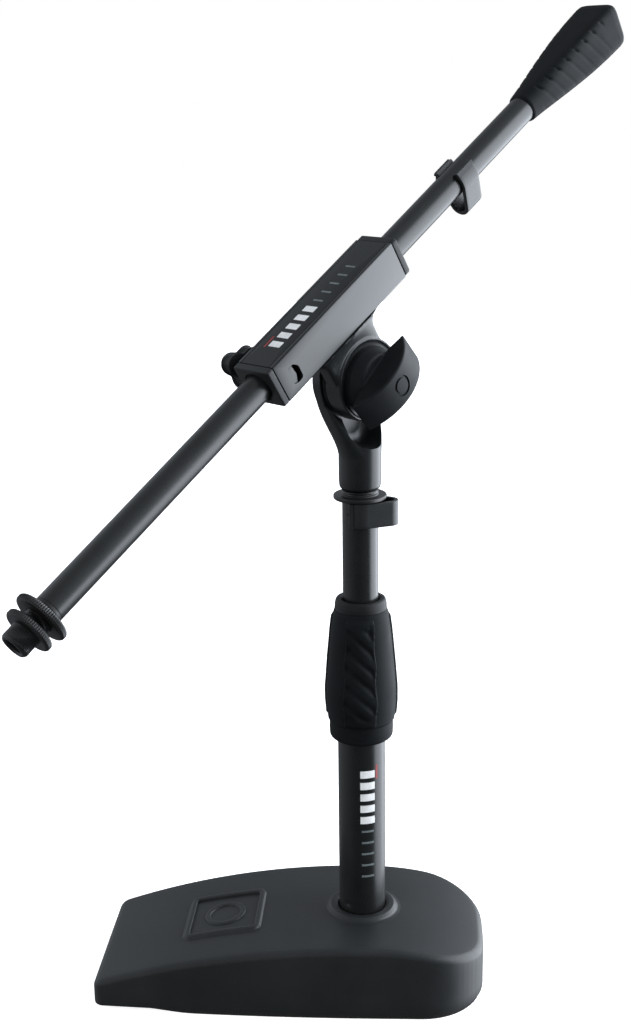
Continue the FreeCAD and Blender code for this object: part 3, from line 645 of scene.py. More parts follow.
# ---- base ---------------------------------------------------------------------------------------------
@dataclass
class Base:
    """Cast base: a rounded plan under a top of two shallow arcs, a collar for the mast and a raised badge."""

    front: float = -160.0
    rear: float = 74.2
    half_widths: tuple[float, float, float] = (48.5, 53.9, 50.6)
    widest_x: float = -60.0
    side_radius: float = 2300.0
    corner_front: float = 6.0
    corner_rear: float = 38.0
    crown_x: float = 5.0
    crown_z: float = 46.0
    arc_radii: tuple[float, float] = (505.0, 179.0)
    edge: float = 4.0
    pad_thickness: float = 3.0
    pad_front: float = -134.0
    pad_taper: tuple[float, float] = (95.0, 137.0)
    collar_bore: float = 14.15
    badge_x: float = -85.0
    badge_half: float = 23.5
    badge_band: float = 4.0
    badge_depth: float = 1.1
    motif_r: float = 12.5

    def outline(self, front: float) -> np.ndarray:
        """Plan outline: straight front, bowed sides and rear end, all corners round.

        Args:
            front: station of the front; the width there is read off the straight side.

        Returns:
            (x, y) rows, anticlockwise.
        """
        front_y, mid_y, rear_y = self.half_widths
        front_y = float(np.interp(front, (self.front, self.widest_x), (front_y, mid_y)))
        bow = self.rear - 1.5
        side_radius = self.side_radius * (self.widest_x - front) / (self.widest_x - self.front)
        near = [(front, -front_y, self.corner_front), (self.widest_x, -mid_y, side_radius),
                (bow, -rear_y, self.corner_rear), (self.rear, 0.0, 400.0)]
        far = [(bow, rear_y, self.corner_rear), (self.widest_x, mid_y, side_radius),
               (front, front_y, self.corner_front)]
        return spaced(closed(rounded_path(near + far, steps=14)), 4.0)[:-1]

    def dome(self, x: np.ndarray) -> np.ndarray:
        """Height of the top: the circle of the front or rear arc, z = crown - R + sqrt(R^2 - (x - crown_x)^2)."""
        away = x - self.crown_x
        radius = np.where(away < 0, self.arc_radii[0], self.arc_radii[1])
        return self.crown_z - radius + np.sqrt(radius ** 2 - away ** 2)

    def ribbon(self, outline: np.ndarray, rows: np.ndarray, level: float = 0.0) -> Shell:
        """A raised band that follows an outline on the top.

        A row is the outline drawn in by the row's first number, at the dome's height plus its second.  Where
        level is given, the dome's height is blended to it over the rows' third number.

        Args:
            outline: closed outline in plan.
            rows: (inset, height, share of the dome) of each row, round the band's section.
            level: height that the band keeps where the dome has no share.

        Returns:
            The closed shell.
        """
        grid = []
        for distance, height, share in rows:
            flat = inset(outline, distance)
            ground = share * self.dome(flat[:, 0]) + (1.0 - share) * level
            grid.append(np.column_stack([flat, ground + height]))
        return woven(np.array(grid), wrap_rows=True)

    def casting(self) -> bpy.types.Object:
        """The casting's skin with the mast socket and the badge's recess cut in.

        From below, the rows are a small round at the foot, the wall, the top edge's round of radius edge, and
        then the top drawn in towards a spine along the middle.

        Returns:
            The piece.
        """
        plan = self.outline(self.front)
        foot, foot_edge = self.pad_thickness, 0.8
        rows = [np.column_stack([inset(plan, 12.0), np.full(len(plan), foot)])]
        for a in np.linspace(0.0, np.pi / 2, 4):
            flat = inset(plan, foot_edge * (1 - np.sin(a)))
            rows.append(np.column_stack([flat, np.full(len(plan), foot + foot_edge * (1 - np.cos(a)))]))
        wall_top = self.dome(plan[:, 0]) - self.edge
        for share in np.linspace(0.0, 1.0, 6)[1:]:
            rows.append(np.column_stack([plan, foot + foot_edge + share * (wall_top - foot - foot_edge)]))
        for a in np.linspace(0.0, np.pi / 2, 9)[1:]:
            flat = inset(plan, self.edge * (1 - np.cos(a)))
            rows.append(np.column_stack([flat, self.dome(flat[:, 0]) - self.edge * (1 - np.sin(a))]))
        rim = rows[-1][:, :2]
        spine = np.column_stack([np.clip(rim[:, 0], -112.0, 30.0), np.zeros(len(rim))])
        for share in np.linspace(1.0, 0.0, 13)[1:]:
            flat = spine + (rim - spine) * share
            rows.append(np.column_stack([flat, self.dome(flat[:, 0])]))
        grid = np.array(rows)
        floor_row = np.array([spine[:, 0], spine[:, 1], np.full(len(rim), foot)]).T[None]
        skin = piece("base_casting_skin", [woven(np.concatenate([floor_row, grid]), wrap_rows=False)])
        half = self.badge_half - self.badge_band + 0.15
        recess = []
        for size, height in ((0.1, -self.badge_depth), (0.4, -self.badge_depth), (0.7, -self.badge_depth),
                             (1.0, -self.badge_depth), (1.0, 3.0)):
            line = self.badge_outline(size * half, 0.16)
            recess.append(np.column_stack([line, self.dome(line[:, 0]) + height]))
        recess_tool = woven(with_poles(np.array(recess)), wrap_rows=False)
        socket = np.array([(0.0, 29.0), (self.collar_bore, 29.0), (self.collar_bore, 60.0), (0.0, 60.0)])
        return carve(skin, [recess_tool, turned(socket, STAND, segments=72)])

    def badge_outline(self, half: float, roundness: float) -> np.ndarray:
        """A square about the badge's centre, its corners round by a share of its half size."""
        square = rectangle(half, half, roundness * half, (self.badge_x, 0.0), steps=7)
        return square_points(square, half / 6.0)

    def build(self) -> None:
        """Casting with collar and badge, and the rubber pad under it."""
        body = self.casting()
        circle = arc((0.0, 0.0), self.collar_bore, 0.0, 357.5, 144)
        section = spaced(closed(rounded_path([
            (0.0, 41.0, 0.0), (0.0, 47.2, 0.5), (-0.9, 48.0, 0.8), (-2.4, 48.5, 1.2), (-5.0, 48.4, 1.4),
            (-6.6, 47.0, 1.2), (-7.2, 45.9, 1.4), (-10.6, 45.35, 0.0), (-10.6, 41.0, 0.0)], 6)), 0.6)[:-1]
        level = 45.55
        share = ramp(-section[:, 0], 5.0, 9.0)
        collar = self.ribbon(circle, np.column_stack([section[:, 0], section[:, 1] - level, share]), level)
        outer = self.badge_outline(self.badge_half, 0.21)
        band = rounded_path([(-1.8, -0.25, 0.0), (-0.4, 0.15, 0.5), (0.4, 1.6, 0.5), (1.6, 2.0, 0.8),
                             (3.0, 1.8, 0.5), (3.6, 1.4, 0.5), (4.0, -1.1, 0.2), (4.1, -2.5, 0.0), (-1.8, -2.5, 0.0)], 5)
        badge = self.ribbon(outer, np.column_stack([band, np.ones(len(band))]))
        ring_line = arc((self.badge_x, 0.0), self.motif_r, 0.0, 356.0, 90)
        ring = rounded_path([(-0.8, -2.5, 0.0), (-0.8, -0.8, 0.2), (0.0, 0.9, 0.5), (1.4, 1.2, 0.8),
                             (3.0, 0.9, 0.5), (3.8, -0.8, 0.2), (3.8, -2.5, 0.0)], 5)
        motif = self.ribbon(ring_line, np.column_stack([ring, np.ones(len(ring))]))
        trim = piece("base_trim", [collar, badge, motif])
        casting = join("base_casting_shaped", [body, trim])
        install(casting, "base", "coated_cast_iron", "base_casting")

        pad = slab(inset(self.outline(self.pad_front - 1.5), 1.5), 0.0, self.pad_thickness + 0.05, STAND)
        thinned = self.pad_thickness * ramp(-pad.points[:, 0], *self.pad_taper)
        pad.points[:, 2] = np.maximum(pad.points[:, 2], thinned)
        install(piece("base_pad_shaped", [pad]), "base", "foot_rubber", "base_pad")


def square_points(outline: np.ndarray, spacing: float) -> np.ndarray:
    """A closed outline with points added along its straight runs."""
    return spaced(closed(outline), spacing)[:-1]


def join(name: str, parts: Sequence[bpy.types.Object], crease: float = 32.0) -> bpy.types.Object:
    """Put several shells' meshes into one piece, as one casting with details that stand in it."""
    work = bmesh.new()
    for part in parts:
        work.from_mesh(part.data)
        bpy.data.objects.remove(part)
    mesh = bpy.data.meshes.new(name)
    work.to_mesh(mesh)
    work.free()
    mesh.shade_smooth()
    mesh.set_sharp_from_angle(angle=math.radians(crease))
    item = bpy.data.objects.new(name, mesh)
    bpy.context.scene.collection.objects.link(item)
    return item


# ---- mast ---------------------------------------------------------------------------------------------
@dataclass
class Mast:
    """Two telescopic tubes, the flanged stud on top, and the printed marks on the lower tube."""

    wall: float = 1.5
    lip: float = 0.4
    crimp: tuple[float, float, float] = (53.0, -37.0, 2.0)
    pin_hole: tuple[float, float, float] = (298.0, -34.0, 1.5)
    thread_pitch: float = 1.1
    marks_from: float = 140.0
    mark_heading: float = 17.0

    def tube(self, node: str, bore_wall: float) -> np.ndarray:
        """A tube's closed half section, from its CAD node's size, with small lips at both ends."""
        low, high = STAND.span(node)
        radius = float(high[0])
        section = rounded_path([(radius - bore_wall, low[2], self.lip), (radius, low[2], self.lip),
                                (radius, high[2], self.lip), (radius - bore_wall, high[2], self.lip)], 5)
        return spaced(closed(section), 1.2)[:-1]

    def crimp_swell(self, angle: np.ndarray, station: np.ndarray, radius: np.ndarray) -> np.ndarray:
        """A small oval dent: minus depth times a bell of the distance from its centre."""
        height, heading, size = self.crimp
        beside = (angle - math.radians(heading - 90.0) + np.pi) % (2 * np.pi) - np.pi
        away = (beside * radius / size) ** 2 + ((station - height) / (0.6 * size)) ** 2
        outside = radius > float(STAND.span("lower_tube")[1][0]) - 0.5 * self.wall
        return -0.7 * np.exp(-away) * outside

    def stud_profile(self) -> np.ndarray:
        """Half section of the flange, the neck above it and the thread that enters the head."""
        low, high = STAND.span("mast_top_stud")
        foot = float(STAND.span("upper_tube")[1][2])
        flange = float(high[0])
        top = foot + 2.5
        corners = [(0.0, foot - 20.0, 0.0), (8.9, foot - 20.0, 0.0), (8.9, foot, 0.0), (flange, foot, 0.8),
                   (flange, top, 0.8), (10.6, top, 0.3), (10.6, top + 2.9, 0.3), (7.8, top + 3.0, 0.0),
                   (7.8, float(high[2]), 1.0), (0.0, float(high[2]), 0.0)]
        return spaced(rounded_path(corners, 6), 0.3)

    def thread(self, angle: np.ndarray, station: np.ndarray, radius: np.ndarray) -> np.ndarray:
        """A helical thread on the neck: a triangle wave of station over pitch less angle over a full turn."""
        phase = (station / self.thread_pitch - angle / (2 * np.pi)) % 1.0
        foot = float(STAND.span("upper_tube")[1][2]) + 2.5
        on_neck = ramp(station, foot + 0.2, foot + 0.5) * (radius > 10.0) * (radius < 10.7)
        return -0.45 * np.abs(2 * phase - 1) * on_neck

    def marks(self) -> None:
        """Plain printed bars in a column on the lower tube: bold ones, then thin ones, and one short dash."""
        radius = float(STAND.span("lower_tube")[1][0])
        heading = math.radians(self.mark_heading - 90.0)
        self.bars("mast_mark_bold", WHITE_INK, radius, heading, self.marks_from, 5, -7.4, (4.6, 9.0))
        self.bars("mast_mark_thin", GREY_INK, radius, heading, self.marks_from - 37.0, 5, -7.4, (1.3, 7.6))
        self.bars("mast_mark_dash", RED_INK, radius, heading + 0.42, self.marks_from + 1.0, 1, 0.0, (9.0, 1.3))

    @staticmethod
    def bars(name: str, ink: Finish, radius: float, heading: float, first: float, count: int, step: float,
             size: tuple[float, float]) -> None:
        """Bars wrapped on the tube: outlines in (arc length, height), laid at r just outside the coat.

        Args:
            name: the piece's name.
            ink: the printed ink.
            radius: the tube's radius.
            heading: the column's angle about the mast, in radians.
            first: height of the first bar's middle.
            count: how many bars.
            step: distance from bar to bar.
            size: a bar's height and its width round the tube.
        """
        height, width = size
        shells = []
        for number in range(count):
            across = np.linspace(-width / 2, width / 2, 9) / radius + heading
            levels = first + number * step + height * np.array([-0.5, -0.5, 0.5, 0.5])
            radii = radius + np.array([-0.05, 0.06, 0.06, -0.05])
            grid = np.stack([radii[:, None] * np.cos(across), radii[:, None] * np.sin(across),
                             np.broadcast_to(levels[:, None], (4, 9))], axis=-1).transpose(1, 0, 2)
            shells.append(woven(with_poles(grid), wrap_rows=False))
        install(piece(name, shells), "base", "coated_steel_tube", finish=ink)

    def build(self) -> None:
        """Tubes, stud and marks."""
        lower = turned(self.tube("lower_tube", self.wall), STAND, segments=120, swell=self.crimp_swell)
        install(piece("lower_tube_shaped", [lower]), "base", "coated_steel_tube", "lower_tube")
        upper = piece("upper_tube_shaped", [turned(self.tube("upper_tube", 1.2), STAND, segments=96)])
        height, heading, radius = self.pin_hole
        turn = math.radians(heading - 90.0)
        out, side = np.array([math.cos(turn), math.sin(turn), 0.0]), np.array([-math.sin(turn), math.cos(turn), 0.0])
        drill = Place(np.array([0.0, 0.0, height]), np.column_stack([out, side, (0.0, 0.0, 1.0)]))
        rod = np.array([(0.0, 4.0), (radius, 4.0), (radius, 14.0), (0.0, 14.0)])
        carve(upper, [turned(rod, drill, Axis.X, segments=32)])
        install(upper, "mast", "coated_steel_tube", "upper_tube")
        stud = turned(self.stud_profile(), STAND, segments=96, swell=self.thread)
        install(piece("mast_top_stud_shaped", [stud]), "mast", "blackened_steel", "mast_top_stud")
        self.marks()


# ---- twist clutch -------------------------------------------------------------------------------------
@dataclass
class Clutch:
    """Twist clutch: a swelling rubber grip with three grooved panels, and the cap ring over it."""

    inner_r: float = 14.3
    ring_r: float = 18.9
    panel_half: float = 9.7
    panel_step: float = 1.15
    groove_pitch: float = 11.2
    groove_slope: float = 42.0
    groove_depth: float = 1.15
    groove_half: float = 1.7

    def profile(self) -> np.ndarray:
        """The grip's closed half section: bottom ring, step, belly and taper outside, and the bore inside."""
        low, high = STAND.span("clutch_grip")
        foot, top = float(low[2]), float(high[2])
        belly = [(16.2, foot, 1.4), (18.6, foot + 1.6, 2.2), (self.ring_r, foot + 6.0, 4.0),
                 (self.ring_r - 0.1, foot + 11.6, 0.6), (19.7, foot + 12.4, 0.8), (20.5, foot + 22.0, 30.0),
                 (20.5, foot + 32.0, 40.0), (19.3, foot + 47.0, 60.0), (17.5, foot + 67.0, 60.0),
                 (16.0, foot + 78.5, 3.0), (15.2, top, 0.6)]
        bore = [(self.inner_r, top, 0.2), (self.inner_r, foot, 0.2)]
        return spaced(closed(rounded_path(belly + bore, 8)), 0.55)[:-1]

    def swell(self, angle: np.ndarray, station: np.ndarray, radius: np.ndarray) -> np.ndarray:
        """Relief of the grip's three panels.

        Beside the panel's middle by s millimetres, a panel stands out by its step where |s| is under its half
        width, whose edge waves a little.  Grooves follow lines of constant z + s tan(slope), and each is a bell
        across that line.

        Args:
            angle: about the mast.
            station: height.
            radius: of the plain section.

        Returns:
            What is added to the radius.
        """
        foot = float(STAND.span("clutch_grip")[0][2])
        outside = ramp(radius, self.inner_r + 0.6, self.inner_r + 1.6)
        span = outside * ramp(station, foot + 12.6, foot + 14.4) * (1 - ramp(station, foot + 75.0, foot + 78.0))
        third = 2 * np.pi / 3
        beside = ((angle + np.pi / 2 + third / 2) % third - third / 2) * 20.4
        half = self.panel_half + 0.45 * np.sin((station - foot) * 2 * np.pi / (2 * self.groove_pitch))
        panel = 1 - ramp(np.abs(beside), half - 0.3, half + 0.3)
        line = station + beside * math.tan(math.radians(self.groove_slope))
        off = ((line / self.groove_pitch + 0.5) % 1.0 - 0.5) * self.groove_pitch
        groove = np.exp(-(off * math.cos(math.radians(self.groove_slope)) / self.groove_half) ** 2)
        inner = 1 - ramp(np.abs(beside), half - 2.2, half - 0.9)
        reach = ramp(station, foot + 16.0, foot + 19.0) * (1 - ramp(station, foot + 70.0, foot + 74.0))
        dimple = np.exp(-((beside - 6.9) / 1.2) ** 2 - ((station - foot - 71.0) / 2.8) ** 2)
        relief = self.panel_step * panel - self.groove_depth * groove * inner * reach - 0.6 * dimple
        return relief * span

    def cap_swell(self, angle: np.ndarray, station: np.ndarray, radius: np.ndarray) -> np.ndarray:
        """Three shallow flats round the cap, where it is turned with a spanner."""
        foot = float(STAND.span("clutch_cap")[0][2])
        lobes = 0.5 - 0.5 * np.cos(3 * (angle + np.pi / 2))
        return -0.35 * lobes * ramp(radius, 12.0, 14.0) * ramp(station, foot, foot + 1.0)

    def build(self) -> None:
        """Grip and cap."""
        grip = turned(self.profile(), STAND, segments=300, swell=self.swell)
        install(piece("clutch_grip_shaped", [grip], crease=50.0), "clutch", "grip_rubber", "clutch_grip")
        low, high = STAND.span("clutch_cap")
        foot, top = float(low[2]), float(high[2])
        ring = spaced(closed(rounded_path([
            (10.75, foot, 0.2), (15.35, foot, 0.3), (15.35, foot + 2.4, 1.6), (14.6, top - 0.1, 1.7),
            (11.9, top, 0.9), (10.75, top - 1.2, 0.5)], 7)), 0.6)[:-1]
        cap = turned(ring, STAND, segments=120, swell=self.cap_swell)
        install(piece("clutch_cap_shaped", [cap], crease=50.0), "clutch", "moulded_nylon", "clutch_cap")


# ---- cable clips --------------------------------------------------------------------------------------
@dataclass
class CableClip:
    """Springy clip of one flat band: a C round the tube with two lips, and a loop for the cable."""

    name: str
    node: str
    body: str
    tube_r: float
    reach: float
    place: Place
    width: float = 14.5
    wall: float = 2.3
    loop_r: float = 5.3
    mouth: float = 41.0
    lip_r: float = 2.6

    def path(self) -> np.ndarray:
        """The band's middle line: lip, round the tube, straight to the loop and round it, and back.

        The flanks touch both circles, so their direction is square to the angle whose cosine is the difference of
        the radii over the distance between the centres.

        Returns:
            (x, y) rows, with the tube at the origin and the loop towards +X.
        """
        hug = self.tube_r + 0.1 + self.wall / 2
        lean = math.degrees(math.acos((hug - self.loop_r) / self.reach))
        start = 180.0 - self.mouth
        out = hug + self.lip_r
        middle = (out * math.cos(math.radians(start)), out * math.sin(math.radians(start)))
        lip = arc(middle, self.lip_r, start + 180.0 + 75.0, start + 180.0 + 8.0, 7)
        upper = np.concatenate([lip, arc((0.0, 0.0), hug, start, lean, 26)])
        loop = arc((self.reach, 0.0), self.loop_r, lean, -lean, 30)
        lower = np.column_stack([upper[::-1, 0], -upper[::-1, 1]])
        return spaced(np.concatenate([upper, loop, lower]), 0.9)

    def build(self) -> None:
        """The band, swept along its middle line."""
        section = rectangle(self.wall / 2, self.width / 2, 0.55, (0.0, self.width / 2), steps=5)
        band = swept(self.path(), square_points(section, 2.5), self.place)
        install(piece(self.name, [band], crease=50.0), self.body, "clip_plastic", self.node)


# ---- boom head ----------------------------------------------------------------------------------------
@dataclass
class BoomHead:
    """Die-cast head: a round post with a soft foot, hollowed on one side, and the round ear above it."""

    post_r: float = 12.1
    ear_r: float = 24.0
    scoop_r: float = 6.8
    scoop_half: float = 12.2
    scoop_floor: float = 336.5
    flare_z: float = 331.0
    seat_r: float = 22.5

    def neck(self, pivot_z: float, inner: float, outer: float) -> Shell:
        """The neck, from the post's circle to the flanks that touch the ear.

        A section is a superellipse whose power falls from a circle's to a box's, and whose half length and
        middle go from the post's to the ear's by a smooth step.
        """
        lean = math.asin((self.ear_r - self.post_r) / (pivot_z - self.flare_z))
        rise = np.linspace(0.0, 1.0, 30)[:, None]
        share = ramp(rise, 0.0, 1.0)
        half_x = self.post_r - 0.1 + (self.ear_r * math.cos(lean) - self.post_r) * rise
        level = self.flare_z + (pivot_z - self.ear_r * math.sin(lean) - self.flare_z) * rise
        near = -self.post_r * (1 - share) + inner * share
        far = (self.post_r - 0.1) * (1 - share) + outer * share
        phi = np.linspace(0.0, 2 * np.pi, 72, endpoint=False)[None, :]
        power = 1.0 - 0.75 * ramp(rise, 0.0, 0.8)
        cos = np.sign(np.cos(phi)) * np.abs(np.cos(phi)) ** power
        sin = np.sign(np.sin(phi)) * np.abs(np.sin(phi)) ** power
        grid = np.stack([half_x * cos, (near + far) / 2 + (far - near) / 2 * sin,
                         np.broadcast_to(level, cos.shape)], axis=-1)
        return woven(HEAD.carry(with_poles(grid)), wrap_rows=False)

    def build(self) -> None:
        """Post, flared neck and ear, cast in one, with the scoop in front and the bolt's recess behind."""
        low, high = HEAD.span("boom_head")
        pivot_z = float(high[2]) - self.ear_r
        foot = float(low[2])
        side = joint_side()
        inner, outer = side + 2.4, float(high[1])
        post = piece("post", [turned(rounded_path([
            (0.0, foot, 0.0), (self.post_r - 0.4, foot, 2.4), (self.post_r, foot + 6.0, 20.0),
            (self.post_r, 352.0, 0.5), (0.0, 352.0, 0.0)], 10), HEAD, segments=96)])
        pivot = HEAD.moved(z=pivot_z)
        ear = piece("ear", [turned(rounded_path([
            (0.0, inner - 0.6, 0.0), (self.ear_r, inner - 0.6, 0.9), (self.ear_r, outer, 1.6), (0.0, outer, 0.0)], 7),
            pivot, Axis.Y, segments=128)])
        neck = piece("neck", [self.neck(pivot_z, inner - 0.6, outer)])
        head = cast_in_one("boom_head_shaped", [post, neck, ear], voxel=0.5, passes=5)
        half = self.scoop_half
        scoop_line = rounded_path([(-half, self.scoop_floor, half - 0.2), (half, self.scoop_floor, half - 0.2),
                                   (half + 3.0, 364.0, half - 0.2), (-half - 3.0, 364.0, half - 0.2)], 20)
        scoop = slab(scoop_line[:, ::-1][::-1], -50.0, inner, HEAD, Axis.Y, edge=self.scoop_r, steps=14)
        face = np.array([(0.0, -60.0), (self.ear_r + 1.2, -60.0), (self.ear_r + 1.2, inner), (0.0, inner)])
        recess = np.array([(0.0, outer - 5.6), (8.2, outer - 5.6), (8.2, outer + 4.0), (0.0, outer + 4.0)])
        bore = np.array([(0.0, -10.0), (4.2, -10.0), (4.2, 40.0), (0.0, 40.0)])
        carve(head, [scoop, turned(face, pivot, Axis.Y, 128), turned(recess, pivot, Axis.Y, 64),
                     turned(bore, pivot, Axis.Y, 48)], crease=45.0)
        install(head, "head", "coated_die_casting", "boom_head")
        seat = rounded_path([(4.2, side + 1.2, 0.0), (self.seat_r, side + 1.2, 0.3), (self.seat_r, inner + 0.3, 0.2),
                             (4.2, inner + 0.3, 0.0)], 4)
        install(piece("boom_head_seat", [turned(seat, pivot, Axis.Y, 128)]), "head", "coated_die_casting")


def joint_side() -> float:
    """How far the ears' meeting plane is from the mast's axis, along the tilt's axis."""
    return float(np.array(joint("boom_tilt")["pos_m"], float) @ HEAD.turn[:, 1] / MM)


# ---- tilt knob ----------------------------------------------------------------------------------------
@dataclass
class TiltKnob:
    """Wing knob: a round hub with a cone, and a broad wing with a bowed outer face and a plain ring mark."""

    turn: float = 9.0
    crest: float = 37.4
    foot: float = 11.6
    waist: float = 21.0
    tip: float = 25.5
    half_length: float = 26.5
    half_width: float = 10.0
    hub_r: float = 19.0
    bow_r: float = 34.0

    def build(self) -> None:
        """Wing and hub moulded in one, with the ring sunk into the bowed face."""
        place = BOOM.moved(z=-PIVOT_DROP).tilted(self.turn)
        lean = math.degrees(math.asin(self.half_length / self.bow_r))
        bow = arc((0.0, -self.crest + self.bow_r), self.bow_r, -90.0 - lean, -90.0 + lean, 40)
        bow_end = float(bow[0, 1])
        side = self.half_length - 0.2
        back = rounded_path([(self.half_length, bow_end, 0.0), (side, 1.0 - self.tip, 0.8),
                             (16.2, -self.waist, 2.0), (-16.2, -self.waist, 2.0),
                             (-side, 1.0 - self.tip, 0.8), (-self.half_length, bow_end, 0.0)], 6)
        outline = merged(np.concatenate([bow, back]))
        depth_first = np.column_stack([outline[:, 0], outline[:, 1]])
        wing = slab(square_points(depth_first, 1.2), -self.half_width, self.half_width, place, edge=1.3, steps=6)
        hub_end = -self.waist - 1.2
        hub = turned(rounded_path([(0.0, -self.foot + 0.2, 0.0), (self.hub_r, -self.foot + 0.2, 0.6),
                                   (self.hub_r, -self.foot - 4.0, 1.2), (15.6, hub_end, 2.0),
                                   (0.0, hub_end, 0.0)], 7), place, Axis.Y, 96)
        knob = cast_in_one("tilt_knob_shaped", [piece("wing", [wing]), piece("hub", [hub])], voxel=0.42, passes=4)
        angle = np.linspace(0.0, 2 * np.pi, 72, endpoint=False)
        rows = []
        for radius, depth in ((4.3, -3.0), (4.3, 0.8), (5.9, 0.8), (5.9, -3.0)):
            x, z = radius * np.cos(angle), radius * np.sin(angle)
            face = -self.crest + self.bow_r - np.sqrt(self.bow_r ** 2 - x ** 2)
            rows.append(np.stack([x, face + depth, z], axis=1))
        carve(knob, [woven(place.carry(np.array(rows)), wrap_rows=True)], crease=50.0)
        install(knob, "tilt_knob", "knob_rubber", "tilt_knob_cover", "tilt_knob_core", "tilt_knob_insert")


# ---- boom clamp ---------------------------------------------------------------------------------------
@dataclass
class BoomClamp:
    """Box clamp round the boom: shell, cover, end caps, bushes and latch, and the lug under it."""

    half_y: float = 13.6
    half_z: float = 11.7
    cap: float = 4.6
    cover_half: float = 11.0
    cover_t: float = 1.5
    channel: tuple[float, float] = (11.2, 9.2)
    window: tuple[float, float, float, float] = (-45.5, -38.0, -7.0, 4.0)
    ear_r: float = 23.5
    lug_half: float = 20.0
    cove: float = 8.5
    marks_from: float = -36.0

    def shell(self) -> None:
        """The painted shell: a box section with a recess for the cover, and the window cut in its side."""
        wide, tall, groove = self.half_y, self.half_z, self.cover_half + 0.3
        reach = float(BOOM.span("clamp_housing")[1][0])
        section = rounded_path([
            (-wide, -tall, 1.3), (wide, -tall, 1.3), (wide, tall, 0.9), (groove, tall, 0.25),
            (groove, tall - self.cover_t - 0.3, 0.2), (-groove, tall - self.cover_t - 0.3, 0.2),
            (-groove, tall, 0.25), (-wide, tall, 0.9)], 6)
        box = piece("clamp_housing_shaped", [slab(section, -reach, reach, BOOM, Axis.X, edge=0.2, steps=3)])
        x0, x1, z0, z1 = self.window
        channel = slab(rectangle(*self.channel, 0.8), -reach - 2, reach + 2, BOOM, Axis.X, edge=0.1, steps=2)
        opening = rounded_path([(x0, z0 + 1.0, 0.9), (x0 + 3.4, z0, 1.2), (x1 - 0.3, z0 + 0.4, 1.6), (x1, z1 - 3.0, 3.0),
                                (x1 - 3.0, z1, 1.6), (x0, z1, 0.9)], 6)
        hole = slab(opening[:, ::-1][::-1], -wide - 3.0, -self.channel[0] + 1.0, BOOM, Axis.Y, edge=0.1, steps=2)
        carve(box, [channel, hole])
        install(box, "clamp", "coated_clamp_shell", "clamp_housing")

    def cover(self) -> None:
        """The flat cover, with plain printed bars along it."""
        low, high = BOOM.span("clamp_cover")
        reach, top = float(high[0]), float(high[2])
        plate = slab(rectangle(reach, self.cover_half, 0.6), top - self.cover_t, top, BOOM, edge=0.35, steps=4)
        install(piece("clamp_cover_shaped", [plate]), "clamp", "coated_clamp_shell", "clamp_cover",
                finish=ABS_PLASTIC)
        self.bars("clamp_mark_bold", WHITE_INK, top, self.marks_from, 5, (4.4, 8.6), -1.0)
        self.bars("clamp_mark_thin", GREY_INK, top, self.marks_from + 37.0, 5, (1.3, 7.2), -1.0)
        self.bars("clamp_mark_dash", RED_INK, top, self.marks_from + 1.0, 1, (9.0, 1.2), 5.4)

    @staticmethod
    def bars(name: str, ink: Finish, level: float, first: float, count: int, size: tuple[float, float],
             beside: float) -> None:
        """Plain bars across the cover, one every 7.4 mm, as thin as ink.

        Args:
            name: the piece's name.
            ink: the printed ink.
            level: the cover's upper face.
            first: station of the first bar's middle.
            count: how many.
            size: a bar's length along the boom and width across it.
            beside: offset across the cover.
        """
        pitch, ink_t = 7.4, 0.06
        shells = [slab(rectangle(size[0] / 2, size[1] / 2, 0.4, (first + number * pitch, beside), 4),
                       level - ink_t, level + ink_t, BOOM, edge=0.03, steps=2) for number in range(count)]
        install(piece(name, shells), "clamp", "coated_clamp_shell", finish=ink)

    def end_caps(self) -> None:
        """Moulded caps that close the shell round the boom, with the guide bushes' rims inside."""
        length = float(BOOM.span("clamp_cap_rear")[1][0])
        for side, name in ((-1, "front"), (1, "rear")):
            near, far = sorted((side * (length - self.cap + 0.25), side * length))
            radius = 2.6 if side > 0 else 1.6
            outline = rectangle(self.half_y + 0.05, self.half_z + 0.05, radius, steps=8)
            cap = piece(f"clamp_cap_{name}_shaped", [slab(outline, near, far, BOOM, Axis.X, edge=0.9, steps=6)])
            bore = turned(np.array([(0.0, near - 1), (9.2, near - 1), (9.2, far + 1), (0.0, far + 1)]), BOOM,
                          Axis.X, 72)
            carve(cap, [bore])
            install(cap, "clamp", "clamp_plastic", f"clamp_cap_{name}")
            start, end = sorted((side * (length - 9.6), side * (length - 0.8)))
            rim = rounded_path([(8.06, start, 0.3), (9.15, start, 0.2), (9.15, end, 0.3), (8.06, end, 0.6)], 5)
            install(piece(f"clamp_bush_{name}_shaped", [turned(rim, BOOM, Axis.X, 72)]), "clamp",
                    "moulded_nylon", f"clamp_bush_{name}")

    def latch(self) -> None:
        """The latch's tongue, which fills the left part of the window and is cut to a curve."""
        x0, x1, z0, z1 = self.window
        outline = rounded_path([(x0 - 3.0, z0 + 0.3, 0.5), (x0 + 2.6, z0 + 0.3, 0.8), (x1 - 3.0, z0 + 4.6, 3.5),
                                (x0 + 3.6, z1 - 0.3, 0.8), (x0 - 3.0, z1 - 0.3, 0.5)], 6)
        tongue = slab(outline[:, ::-1][::-1], -self.channel[0] - 1.9, -self.channel[0] + 0.3, BOOM, Axis.Y,
                      edge=0.35, steps=4)
        install(piece("clamp_latch_shaped", [tongue]), "clamp", "clamp_plastic", "clamp_latch",
                finish=CLAMP_SHELL)

